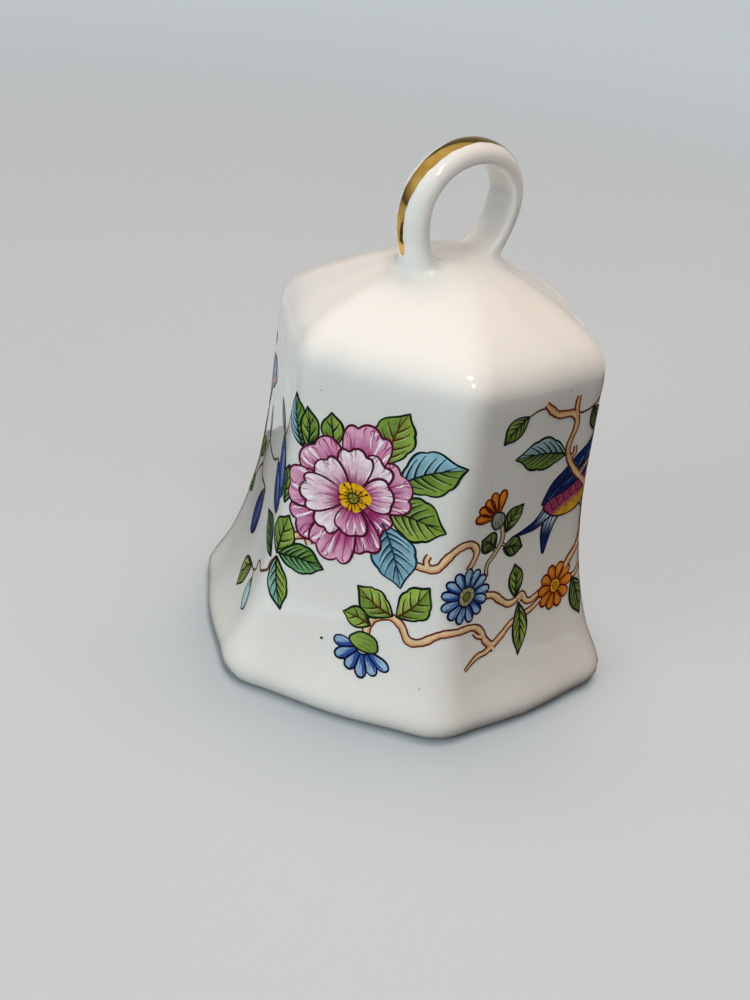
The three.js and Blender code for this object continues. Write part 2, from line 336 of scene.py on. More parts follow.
class Material:
    """A principled material whose textures all read object coordinates."""

    def __init__(self, name):
        self.material = bpy.data.materials.new(name)
        self.material.use_nodes = True
        self.tree = self.material.node_tree
        self.tree.nodes.clear()
        self.out = self.node("ShaderNodeOutputMaterial")
        self.bsdf = self.node("ShaderNodeBsdfPrincipled")
        self.put(self.bsdf.outputs[0], self.out.inputs[0])
        mapping = self.node("ShaderNodeMapping")
        coordinates = self.node("ShaderNodeTexCoord")
        self.put(coordinates.outputs["Object"], mapping.inputs["Vector"])
        self.coords = mapping.outputs["Vector"]

    def node(self, kind, **properties):
        node = self.tree.nodes.new(kind)
        for name, value in properties.items():
            setattr(node, name, value)
        return node

    def put(self, value, socket):
        """Link another node's output to the socket, or set its value."""
        if isinstance(value, bpy.types.NodeSocket):
            self.tree.links.new(value, socket)
        else:
            socket.default_value = value

    def set(self, **values):
        for name, value in values.items():
            self.put(value, self.bsdf.inputs[name.replace("_", " ")])

    def noise(self, scale, detail=3.0, roughness=0.5):
        node = self.node("ShaderNodeTexNoise")
        node.inputs["Scale"].default_value = scale
        node.inputs["Detail"].default_value = detail
        node.inputs["Roughness"].default_value = roughness
        self.put(self.coords, node.inputs["Vector"])
        return node.outputs["Fac"]

    def ramp(self, factor, stops):
        node = self.node("ShaderNodeValToRGB")
        elements = node.color_ramp.elements
        for element, (position, color) in ((elements[0], stops[0]), (elements[1], stops[-1])):
            element.position, element.color = position, (*color, 1)
        for position, color in stops[1:-1]:
            elements.new(position).color = (*color, 1)
        self.put(factor, node.inputs["Fac"])
        return node.outputs["Color"]

    def remap(self, factor, low, high):
        node = self.node("ShaderNodeMapRange")
        node.inputs["To Min"].default_value = low
        node.inputs["To Max"].default_value = high
        self.put(factor, node.inputs["Value"])
        return node.outputs["Result"]

    def mix(self, factor, first, second, mode="MIX"):
        node = self.node("ShaderNodeMix", data_type="RGBA", blend_type=mode)
        for name, value in (("Factor", factor), ("A", first), ("B", second)):
            self.put(value, node.inputs[name])
        return node.outputs["Result"]

    def bump(self, height, strength, distance):
        node = self.node("ShaderNodeBump")
        node.inputs["Strength"].default_value = strength
        node.inputs["Distance"].default_value = distance
        self.put(height, node.inputs["Height"])
        self.set(Normal=node.outputs["Normal"])


def china_material():
    mat = Material("glazed_bone_china")
    body = mat.ramp(
        mat.noise(scale=55, detail=4.0, roughness=0.55),
        [(0.30, (0.800, 0.790, 0.765)), (0.52, (0.835, 0.828, 0.806)), (0.75, (0.850, 0.846, 0.830))],
    )
    # sparse dark pinholes under the glaze: small dots, kept only where a broad noise is high
    dots = mat.node("ShaderNodeTexVoronoi")
    dots.inputs["Scale"].default_value = 62
    mat.put(mat.coords, dots.inputs["Vector"])
    pinholes = mat.ramp(dots.outputs["Distance"], [(0.0, WHITE), (0.009, WHITE), (0.016, BLACK)])
    kept = mat.ramp(mat.noise(scale=23, detail=1.0), [(0.0, BLACK), (0.66, BLACK), (0.67, WHITE)])
    specks = mat.mix(1.0, pinholes, kept, "MULTIPLY")
    mat.set(
        Base_Color=mat.mix(specks, body, (0.22, 0.17, 0.13, 1)),
        Roughness=mat.remap(mat.noise(scale=120), low=0.045, high=0.10),
        IOR=1.52,
        Subsurface_Weight=0.22,
        Subsurface_Scale=0.0016,
        Subsurface_Radius=(1.0, 0.72, 0.55),
        Coat_Weight=0.35,
        Coat_Roughness=0.03,
    )
    mat.bump(mat.noise(scale=210, detail=2.0), strength=0.05, distance=0.0004)
    return mat.material


def enamel_material():
    mat = Material("painted_enamel")
    paint = mat.node("ShaderNodeVertexColor", layer_name="Col")
    tone = mat.ramp(
        mat.noise(scale=900, detail=4.0, roughness=0.6),
        [(0.25, (0.80, 0.80, 0.80)), (0.5, WHITE), (0.75, (1.12, 1.12, 1.12))],
    )
    mat.set(
        Base_Color=mat.mix(1.0, paint.outputs["Color"], tone, "MULTIPLY"),
        Roughness=mat.remap(mat.noise(scale=400), low=0.12, high=0.22),
        IOR=1.50,
        Specular_IOR_Level=0.08,
    )
    mat.bump(mat.noise(scale=700, detail=2.0), strength=0.06, distance=0.0002)
    return mat.material


def gilt_material():
    mat = Material("burnished_gilding")
    mat.set(
        Base_Color=mat.ramp(
            mat.noise(scale=260, detail=4.0, roughness=0.6),
            [(0.30, (0.50, 0.27, 0.05)), (0.52, (0.74, 0.46, 0.11)), (0.78, (0.88, 0.62, 0.21))],
        ),
        Metallic=1.0,
        Roughness=mat.remap(mat.noise(scale=700, detail=4.0, roughness=0.6), low=0.05, high=0.17),
    )
    mat.bump(mat.noise(scale=900), strength=0.08, distance=0.0002)
    return mat.material


def brass_material():
    mat = Material("drawn_brass")
    mat.set(
        Base_Color=mat.ramp(
            mat.noise(scale=420, detail=5.0, roughness=0.62),
            [(0.28, (0.22, 0.13, 0.05)), (0.50, (0.56, 0.38, 0.15)), (0.75, (0.70, 0.52, 0.25))],
        ),
        Metallic=1.0,
        Roughness=mat.remap(mat.noise(scale=900, detail=4.0, roughness=0.7), low=0.22, high=0.46),
    )
    mat.bump(mat.noise(scale=2200), strength=0.18, distance=0.0002)
    return mat.material


def cement_material():
    mat = Material("white_cement")
    mat.set(
        Base_Color=mat.ramp(
            mat.noise(scale=650, detail=6.0, roughness=0.7),
            [(0.30, (0.52, 0.48, 0.41)), (0.52, (0.68, 0.65, 0.58)), (0.74, (0.78, 0.76, 0.70))],
        ),
        Roughness=0.88,
    )
    mat.bump(mat.noise(scale=1300, detail=6.0, roughness=0.7), strength=0.6, distance=0.0005)
    return mat.material


CHINA = china_material()
ENAMEL = enamel_material()
GILT = gilt_material()
BRASS = brass_material()
CEMENT = cement_material()

# ------------------------------------------------------------------ shell
COLUMNS_PER_SIDE = 24
LIP_TOP_Z = 2.9  # below this the inside's corners blend into the outside's


def section_columns():
    """Turns of the columns: wider apart at the corners than in the middle of a side."""
    share = np.linspace(0, 1, COLUMNS_PER_SIDE, endpoint=False)
    share = share + 0.062 * np.sin(2 * math.pi * share)
    return np.concatenate([side + share for side in range(6)])


def shell_outside(columns):
    place = between_knots(outer_knots, 6)
    rows = []
    for radius, z in zip(outer_radius(place), outer_z(place)):
        x, y = section(columns, radius, *outer_form(radius, z))
        rows.append(np.stack([x, y, np.full_like(x, z)], 1))
    grid = np.array(rows)
    grid = grid + grid_normals(grid) * unevenness(grid)[..., None]
    # the foot ring: a faint ripple, and two drips of glaze that stop short of the table
    azimuth = np.arctan2(grid[..., 1], grid[..., 0])
    near = 1 - smooth(grid[..., 2] / 3.2)
    ripple = 0.07 * (1 + np.sin(5 * azimuth + 0.6) * 0.6 + np.sin(11 * azimuth + 2.0) * 0.4)
    drip = 0.22 * np.exp(-(((azimuth + 2.02) / 0.045) ** 2))
    drip += 0.16 * np.exp(-(((azimuth + 0.55) / 0.03) ** 2))
    grid[..., 2] += near * ripple * smooth(grid[..., 2] / 0.4)
    outward = grid[..., :2] / np.linalg.norm(grid[..., :2], axis=-1, keepdims=True)
    grid[..., :2] += outward * (drip * near * smooth(grid[..., 2] / 0.3))[..., None]
    return grid


def shell_inside(columns):
    inner_radius, inner_z, knots = profile_curve(INNER)
    place = between_knots(knots, 4)
    rows = []
    for radius, z in zip(inner_radius(place), inner_z(place)):
        rounding, bow = inner_form(radius, z)
        if z < LIP_TOP_Z:
            share = smooth(z / LIP_TOP_Z)
            rounding = outer_form(radius, z)[0] * (1 - share) + rounding * share
        x, y = section(columns, radius, rounding, bow)
        rows.append(np.stack([x, y, np.full_like(x, max(z, 0.0))], 1))
    return np.array(rows)


def build_shell():
    columns = section_columns()
    # rows run from the apex down the outside, round the rim and up to the ceiling
    grid = np.concatenate([shell_outside(columns)[::-1], shell_inside(columns)], 0)
    normals = -grid_normals(grid)
    rows, sides = grid.shape[:2]
    faces = [[a, d, c, b] for a, b, c, d in ring_faces(rows, sides)]
    apex, ceiling, last = rows * sides, rows * sides + 1, (rows - 1) * sides
    for i in range(sides):
        j = (i + 1) % sides
        faces.append([apex, i, j])
        faces.append([ceiling, last + j, last + i])
    points = np.vstack([grid.reshape(-1, 3), [[0, 0, CROWN_Z], [0, 0, CEILING_Z]]])
    normals = np.vstack([normals.reshape(-1, 3), [[0, 0, 1], [0, 0, -1]]])
    shell = make_object("china_shell", points, faces, CHINA, "bell", normals=normals)
    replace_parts(shell, "bell_shell")


build_shell()

# ------------------------------------------------------------------ loop handle
# In the handle's own frame x runs across the loop, y across the band and z up.
LOOP_AZIMUTH = math.radians(60)
LOOP_R, LOOP_RISE, LOOP_Z, FOOT_Z = 10.5, 8.9, 78.4, 67.8
LEAN = 0.04
FOOT_MINUS, FOOT_PLUS = 4.9, 3.6  # how far each foot stands from the axis, on -x and +x
BAND_W, BAND_T = 6.6, 3.4  # flat inside, half round outside
SLIP = 3.6  # reach of the soft joint between loop and crown
SKIN = 0.012  # the china's surface lies this far under the joined form's own
LINE_POINTS = 421


def to_row(points):
    """Turn points or directions from the handle's frame to the bell's."""
    x, y, z = points[..., 0], points[..., 1], points[..., 2]
    cos, sin = math.cos(LOOP_AZIMUTH), math.sin(LOOP_AZIMUTH)
    return np.stack([x * cos - y * sin, x * sin + y * cos, z], -1)


def loop_line():
    """The loop's centre line as (x, z), from the foot on -x to the foot on +x."""
    place = np.linspace(0, 1, LINE_POINTS)
    side = np.where(place < 0.5, -1.0, 1.0)
    from_top = np.abs(place - 0.5) * 2
    arch_share, sweep = 0.5, math.pi / 2 * 0.74
    foot = np.where(side < 0, FOOT_MINUS, FOOT_PLUS)
    arch = math.pi / 2 * (1 - from_top / arch_share)
    leg = (from_top - arch_share) / (1 - arch_share) * sweep
    on_arch = from_top < arch_share
    leg_x = LOOP_R - (LOOP_R - foot) * (1 - np.cos(leg)) / (1 - math.cos(sweep))
    leg_z = LOOP_Z + (FOOT_Z - LOOP_Z) * np.sin(leg) / math.sin(sweep)
    x = np.where(on_arch, LOOP_R * np.cos(arch), leg_x)
    z = np.where(on_arch, LOOP_Z + LOOP_RISE * np.sin(arch), leg_z)
    line = np.stack([side * x + LEAN * np.maximum(z - 70, 0), z], -1)
    for _ in range(30):  # the hand-pulled strip has no kinks
        line[1:-1] = 0.25 * line[:-2] + 0.5 * line[1:-1] + 0.25 * line[2:]
    return line


LINE = loop_line()

# table of the crown's height over the handle's x and y
TABLE_X, TABLE_Y, TABLE_STEP = 19.0, 13.0, 0.125


def crown_height(x, y):
    low, high = np.full_like(x, 40.0), np.full_like(x, CROWN_Z)
    for _ in range(34):
        middle = (low + high) / 2
        radius = radius_at(middle)
        inside = section_distance(x, y, radius, *outer_form(radius, middle)) < 0
        low = np.where(inside, middle, low)
        high = np.where(inside, high, middle)
    return (low + high) / 2


def crown_table():
    x, y = np.meshgrid(
        np.arange(-TABLE_X, TABLE_X + TABLE_STEP / 2, TABLE_STEP),
        np.arange(-TABLE_Y, TABLE_Y + TABLE_STEP / 2, TABLE_STEP),
        indexing="ij",
    )
    spots = to_row(np.stack([x, y, 0 * x], -1))
    table = crown_height(spots[..., 0], spots[..., 1])
    for _ in range(6):  # the crown's very top is softly rounded under the glaze
        sides = table[:-2, 1:-1] + table[2:, 1:-1] + table[1:-1, :-2] + table[1:-1, 2:]
        table[1:-1, 1:-1] = (4 * table[1:-1, 1:-1] + sides) / 8
    return table


HEIGHT = crown_table()
SLOPE_X, SLOPE_Y = np.gradient(HEIGHT, TABLE_STEP)


def look_up(table, x, y):
    column = np.clip((x + TABLE_X) / TABLE_STEP, 0, table.shape[0] - 1.001)
    row = np.clip((y + TABLE_Y) / TABLE_STEP, 0, table.shape[1] - 1.001)
    i, j = column.astype(int), row.astype(int)
    past_i, past_j = column - i, row - j
    return (
        table[i, j] * (1 - past_i) * (1 - past_j)
        + table[i + 1, j] * past_i * (1 - past_j)
        + table[i, j + 1] * (1 - past_i) * past_j
        + table[i + 1, j + 1] * past_i * past_j
    )


def crown_field(points):
    """Distance above the crown and its gradient."""
    x, y, z = points[..., 0], points[..., 1], points[..., 2]
    slope_x, slope_y = look_up(SLOPE_X, x, y), look_up(SLOPE_Y, x, y)
    upright = 1 / np.sqrt(1 + slope_x * slope_x + slope_y * slope_y)
    gradient = np.stack([-slope_x * upright, -slope_y * upright, upright], -1)
    return (z - look_up(HEIGHT, x, y)) * upright, gradient


def line_distance(x, z):
    """Distance from the centre line, positive outside the loop, and the place along it, 0 to 1."""
    spots = np.stack([x.ravel(), z.ravel()], 1)
    nearest = np.empty(len(spots), int)
    batch = 20000
    for start in range(0, len(spots), batch):
        gaps = ((spots[start : start + batch, None, :] - LINE[None, ::3, :]) ** 2).sum(-1)
        nearest[start : start + batch] = gaps.argmin(1) * 3
    best = np.full(len(spots), 1e9)
    along = np.zeros(len(spots))
    sign = np.ones(len(spots))
    for offset in (-3, -2, -1, 0, 1, 2):
        i = np.clip(nearest + offset, 0, len(LINE) - 2)
        start = LINE[i]
        span = LINE[i + 1] - start
        share = np.clip(((spots - start) * span).sum(1) / (span * span).sum(1), 0, 1)
        away = spots - (start + span * share[:, None])
        distance = np.hypot(away[:, 0], away[:, 1])
        cross = span[:, 0] * away[:, 1] - span[:, 1] * away[:, 0]
        closer = distance < best
        best = np.where(closer, distance, best)
        along = np.where(closer, (i + share) / (len(LINE) - 1), along)
        sign = np.where(closer, np.sign(cross), sign)
    return (best * sign).reshape(x.shape), along.reshape(x.shape)


def band_distance(y, off_line, along):
    """Distance from the band: half an oval outside, flat inside, meeting in a soft corner."""
    foot = smooth((np.abs(along - 0.5) * 2 - 0.62) / 0.38)
    half_width = BAND_W / 2 + 0.06 * np.sin(along * 11.0) + 0.35 * foot
    flank = 0.9  # straight flank between the flat inside and the oval
    depth = BAND_T + 0.35 * foot - 0.08 * np.sin(along * 9.0) - flank
    height = np.maximum(off_line + BAND_T / 2 - flank, 0)
    scale = np.sqrt((y / half_width) ** 2 + (height / depth) ** 2) + 1e-6
    slope = np.sqrt((y / half_width**2) ** 2 + (height / depth**2) ** 2) + 1e-6
    oval = scale * (scale - 1) / slope
    flat = -(off_line + BAND_T / 2) - 0.05 * (y / 2.6) ** 2
    corner = 0.8
    rounded_part = np.hypot(np.maximum(oval + corner, 0), np.maximum(flat + corner, 0))
    return rounded_part + np.minimum(np.maximum(oval, flat), -corner)


def loop_distance(points):
    return band_distance(points[..., 1], *line_distance(points[..., 0], points[..., 2]))


def merged(first, second):
    """Soft union of two distances, and the weight of the first in its gradient."""
    near = np.maximum(SLIP - np.abs(first - second), 0) / SLIP
    weight = np.where(first < second, 1 - near * near / 2, near * near / 2)
    return np.minimum(first, second) - near**3 * SLIP / 6, weight


def handle_field(points):
    """Distance and gradient of the loop joined to the crown."""
    crown, crown_gradient = crown_field(points)
    distance, weight = merged(loop_distance(points), crown)
    step = 0.02
    loop_gradient = np.stack(
        [
            (loop_distance(points + shift) - loop_distance(points - shift)) / (2 * step)
            for shift in step * np.eye(3)
        ],
        -1,
    )
    return distance, loop_gradient * weight[..., None] + crown_gradient * (1 - weight)[..., None]


def settle(points, passes):
    """Move points on to the handle's skin."""
    for _ in range(passes):
        distance, gradient = handle_field(points)
        share = (distance + SKIN) / np.maximum((gradient**2).sum(1), 0.05)
        points = points - share[:, None] * gradient
    return points


def surface_nets(field, origin, step):
    """Points and quads of the surface where a gridded field passes zero."""
    shape = field.shape
    cells = tuple(n - 1 for n in shape)
    inside = field < 0
    total = np.zeros((*cells, 3))
    count = np.zeros(cells)
    for axis in range(3):
        others = [a for a in range(3) if a != axis]
        for first in (0, 1):
            for second in (0, 1):
                near = [0, 0, 0]
                near[others[0]], near[others[1]] = first, second
                far = list(near)
                far[axis] += 1
                at_near = tuple(slice(o, o + n - 1) for o, n in zip(near, shape))
                at_far = tuple(slice(o, o + n - 1) for o, n in zip(far, shape))
                crossed = inside[at_near] != inside[at_far]
                drop = np.where(crossed, field[at_near] - field[at_far], 1)
                share = np.where(crossed, field[at_near] / drop, 0)
                for a in range(3):
                    total[..., a] += np.where(crossed, near[a] + (share if a == axis else 0), 0)
                count += crossed
    used = count > 0
    ids = np.full(used.shape, -1)
    ids[used] = np.arange(used.sum())
    points = (np.argwhere(used) + total[used] / count[used][:, None]) * step + origin
    quads = []
    for axis in range(3):
        order = [axis, (axis + 1) % 3, (axis + 2) % 3]
        turned_inside = np.transpose(field, order) < 0
        turned_ids = np.transpose(ids, order)
        starts = turned_inside[:-1]
        crossed = (starts != turned_inside[1:])[:, 1:-1, 1:-1]
        i, j, k = (np.argwhere(crossed) + [0, 1, 1]).T
        corners = [(j - 1, k - 1), (j, k - 1), (j, k), (j - 1, k)]
        quad = np.stack([turned_ids[i, row, column] for row, column in corners], 1)
        leaving = starts[i, j, k]
        quad[~leaving] = quad[~leaving][:, ::-1]
        quads.append(quad[(quad >= 0).all(1)])
    return points, np.vstack(quads)


def handle_cut(loop, crown):
    """The handle ends 1.2 below the crown and just beyond the slip's reach."""
    return np.maximum(-(crown + 1.2), loop - (SLIP + 0.6))


def build_handle():
    step = 0.3
    xs = np.arange(-15.0, 15.01, step)
    ys = np.arange(-9.0, 9.01, step)
    zs = np.arange(62.4, 90.3, step)
    grid = np.stack(np.meshgrid(xs, ys, zs, indexing="ij"), -1)
    off_line, along = line_distance(*np.meshgrid(xs, zs, indexing="ij"))
    loop = band_distance(grid[..., 1], off_line[:, None, :], along[:, None, :])
    crown, _ = crown_field(grid)
    joined, _ = merged(loop, crown)
    field = np.maximum(joined + SKIN, handle_cut(loop, crown))
    points, quads = surface_nets(field, np.array([xs[0], ys[0], zs[0]]), step)
    # points on the glazed outside, not on the cuts, settle on the true form
    loop = loop_distance(points)
    crown, _ = crown_field(points)
    joined, _ = merged(loop, crown)
    live = (joined + SKIN) > handle_cut(loop, crown) - 0.12
    points[live] = settle(points[live], 4)
    # normals come from the faces on the cuts and from the field elsewhere
    normals = np.zeros_like(points)
    a, b, c, d = (points[quads[:, i]] for i in range(4))
    face_normals = np.cross(c - a, d - b)
    for i in range(4):
        np.add.at(normals, quads[:, i], face_normals)
    normals = unit(normals)
    normals[live] = unit(handle_field(points[live])[1])
    handle = make_object(
        "china_loop", to_row(points), quads.tolist(), CHINA, "bell",
        normals=to_row(normals),
    )
    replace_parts(handle, "loop_handle")


def slab(top, bottom, normals, faces):
    """A closed thin body from a sheet, its underside and a wall round its edge.

    Returns its points, its faces and a normal for every face corner.
    """
    count = len(top)
    out = [list(face) for face in faces]
    corner = [normals[i] for face in faces for i in face]
    edges = {}
    for face in faces:
        for edge in zip(face, list(face[1:]) + [face[0]]):
            edges[edge] = True
    for face in faces:
        back = list(face)[::-1]
        out.append([i + count for i in back])
        corner += [-normals[i] for i in back]
    for a, b in edges:
        if (b, a) in edges:
            continue
        out.append([b, a, a + count, b + count])
        side = np.cross(top[b] - top[a], normals[a])
        corner += [side / max(np.linalg.norm(side), 1e-9)] * 4
    return np.vstack([top, bottom]), out, np.array(corner)


def build_gilding():
    """The gilt stripe runs over the loop's outer face from one foot to the other."""
    outward = left_of(unit(np.gradient(LINE, axis=0)))
    stations = np.arange(50, LINE_POINTS - 60, 2)
    columns = 9
    rows = []
    for i, station in enumerate(stations):
        from_end = min(i, len(stations) - 1 - i)
        over = float(smooth((station / (LINE_POINTS - 1) - 0.2) / 0.26))
        half = 0.92 + 0.46 * over + 0.05 * math.sin(i * 0.37) + 0.04 * math.sin(i * 0.83 + 1.0)
        half *= min(1.0, 0.3 + 0.16 * from_end)
        shift = 0.55 - 0.95 * over + 0.05 * math.sin(i * 0.11)
        y = np.linspace(-half, half, columns) + shift
        x, z = LINE[station] + outward[station] * (BAND_T / 2 + 0.1)
        rows.append(np.stack([np.full(columns, x), y, np.full(columns, z)], 1))
    points = settle(np.array(rows).reshape(-1, 3), 5)
    normals = unit(handle_field(points)[1])
    i = np.arange(len(rows) - 1)[:, None] * columns + np.arange(columns - 1)[None, :]
    quads = np.stack([i + columns, i + columns + 1, i + 1, i], -1).reshape(-1, 4)
    points, faces, corner = slab(
        points + normals * 0.035, points - normals * 0.05, normals, quads.tolist()
    )
    make_object(
        "gilt_stripe", to_row(points), faces, GILT, "bell",
        corner_normals=to_row(corner),
    )


build_handle()
build_gilding()

# ------------------------------------------------------------------ painting tools
# The drawing lies on a flat canvas wrapped round the wall: x runs from the front corner, positive
# to the right seen from outside, and y climbs the wall. The tables give (x, height z). Each shape
# is a closed film of enamel that follows the glaze; higher levels lie over lower ones.
RNG = np.random.default_rng(7)
INK = rgb("#1c2230")
NAVY = rgb("#121a3c")
MAROON = rgb("#561a35")
LEAF_INK = rgb("#16241c")


def layer(level):
    """Height of a level's film above the glaze."""
    return 0.030 + 0.009 * level


def canvas(x, z):
    return np.array([x, climb(z)])


def canvas_points(places):
    return np.array([canvas(x, z) for x, z in places])


class Paint:
    """One object of enamel, gathered from many films."""

    def __init__(self, name):
        self.name = name
        self.points, self.faces, self.corners, self.colors = [], [], [], []
        self.count = 0

    def sheet(self, flat, faces, color, height):
        """Wrap flat points round the wall, on the front half and again on the opposite half."""
        z = np.interp(flat[:, 1], CLIMB_TABLE, Z_TABLE)
        for half in (0, 3):
            turn = -1 + flat[:, 0] / side_length(z) + half
            place, normals = wall_point(turn, z), normal_of(wall_point, turn, z, 0.06)
            points, film_faces, corners = slab(
                place + normals * height, place - normals * 0.03, normals, faces
            )
            self.points.append(points)
            self.faces += [[i + self.count for i in face] for face in film_faces]
            self.corners.append(corners)
            colors = np.broadcast_to(np.asarray(color, float), (len(flat), 3))
            self.colors.append(np.vstack([colors, colors]))
            self.count += len(points)

    def make(self):
        make_object(
            self.name, np.vstack(self.points), self.faces, ENAMEL, "bell",
            corner_normals=np.vstack(self.corners),
            colors=np.clip(np.vstack(self.colors), 0, 1),
        )


def inside_outline(spots, outline):
    x, y = spots[:, 0][:, None], spots[:, 1][:, None]
    start, end = outline, np.roll(outline, -1, 0)
    spans = (start[:, 1] > y) != (end[:, 1] > y)
    rise = end[:, 1] - start[:, 1]
    rise = np.where(np.abs(rise) < 1e-12, 1e-12, rise)
    meets = start[:, 0] + (y - start[:, 1]) / rise * (end[:, 0] - start[:, 0])
    return ((spans & (x < meets)).sum(1) % 2) == 1


def outline_area(outline):
    x, y = outline[:, 0], outline[:, 1]
    return 0.5 * (x * np.roll(y, -1) - np.roll(x, -1) * y).sum()


def farther(spots, others, gap):
    """The spots more than gap away from every one of the others."""
    return spots[np.sqrt(((spots[:, None] - others[None]) ** 2).sum(-1)).min(1) > gap]


def fill(paint, outline, color, height, spacing=0.55, extra=None):
    """Fill a closed outline; color is one colour or a function of the points."""
    if outline_area(outline) < 0:
        outline = outline[::-1]
    low, high = outline.min(0), outline.max(0)
    xs = np.arange(low[0], high[0], spacing)
    ys = np.arange(low[1], high[1], spacing * 0.87)
    spots = [(x + (spacing / 2 if j % 2 else 0), y) for j, y in enumerate(ys) for x in xs]
    spots = np.array(spots).reshape(-1, 2)
    if extra is not None:
        spots = np.vstack([farther(spots, extra, 0.3), extra])
    spots = farther(spots[inside_outline(spots, outline)], outline, 0.16)
    given = [Vector(spot) for spot in np.vstack([outline, spots]).tolist()]
    result = geometry.delaunay_2d_cdt(given, [], [list(range(len(outline)))], 1, 1e-7)
    points = np.array([list(point) for point in result[0]])
    faces = []
    used = np.zeros(len(points), bool)
    for face in result[2]:
        area = outline_area(points[list(face)])
        if abs(area) < 1e-9:
            continue
        faces.append(list(face) if area > 0 else list(face)[::-1])
        used[list(face)] = True
    new_index = np.cumsum(used) - 1
    points = points[used]
    faces = [[int(new_index[i]) for i in face] for face in faces]
    paint.sheet(points, faces, color(points) if callable(color) else color, height)


def stroke(paint, line, width, color, height, closed=False):
    """A brush line along points close together; width and color are single or one per point."""
    count = len(line)
    half = np.broadcast_to(np.asarray(width, float), (count,)) / 2
    if closed:
        forward = np.roll(line, -1, 0) - np.roll(line, 1, 0)
    else:
        forward = np.gradient(line, axis=0)
    across = left_of(unit(forward))
    columns = 2 if half.max() < 0.35 else 4
    offsets = half[:, None] * np.linspace(-1, 1, columns)[None, :]
    points = (line[:, None, :] + across[:, None, :] * offsets[..., None]).reshape(-1, 2)
    faces = []
    for i in range(count if closed else count - 1):
        here, ahead = i * columns, ((i + 1) % count) * columns
        for j in range(columns - 1):
            faces.append([here + j + 1, here + j, ahead + j, ahead + j + 1])
    if outline_area(points[faces[0]]) < 0:
        faces = [face[::-1] for face in faces]
    if color.ndim == 2:
        color = np.repeat(color, columns, 0)
    paint.sheet(points, faces, color, height)


def taper(count, start, end, swell=0.0):
    """Widths from start to end, swollen in the middle."""
    share = np.linspace(0, 1, count)
    return (start + (end - start) * share) * (1 + swell * np.sin(math.pi * share))


def hand(line, width):
    """Widths of a hand-held line, which swells and thins a little along its length."""
    k = np.arange(len(line))
    first, second = RNG.uniform(0, 6.28, 2)
    return width * (1 + 0.18 * np.sin(k * 0.41 + first) * 0.6 + 0.18 * np.sin(k * 0.17 + second))


def thin_line(paint, places, start_width, end_width, color, level):
    line = catmull(canvas_points(places), 0.3)
    stroke(paint, line, taper(len(line), start_width, end_width), rgb(color), layer(level))


def blob(center, radius_x, radius_y, angle=0, count=18, wobble=0.0, phase=0.0):
    turn = np.linspace(0, 2 * math.pi, count, endpoint=False)
    wave = 1 + wobble * np.sin(3 * turn + phase) + wobble * 0.6 * np.sin(5 * turn + phase * 2)
    x, y = radius_x * np.cos(turn) * wave, radius_y * np.sin(turn) * wave
    cos, sin = math.cos(math.radians(angle)), math.sin(math.radians(angle))
    return np.stack([center[0] + x * cos - y * sin, center[1] + x * sin + y * cos], 1)


def spaced(points, gap):
    """Drop points that lie within gap of the last one kept."""
    keep = [0]
    for i in range(1, len(points)):
        if np.linalg.norm(points[i] - points[keep[-1]]) > gap:
            keep.append(i)
    return points[keep]


def axis_of(base, tip):
    """Length, direction and left-hand direction of the line from base to tip."""
    length = np.linalg.norm(tip - base)
    forward = (tip - base) / length
    return length, forward, left_of(forward)


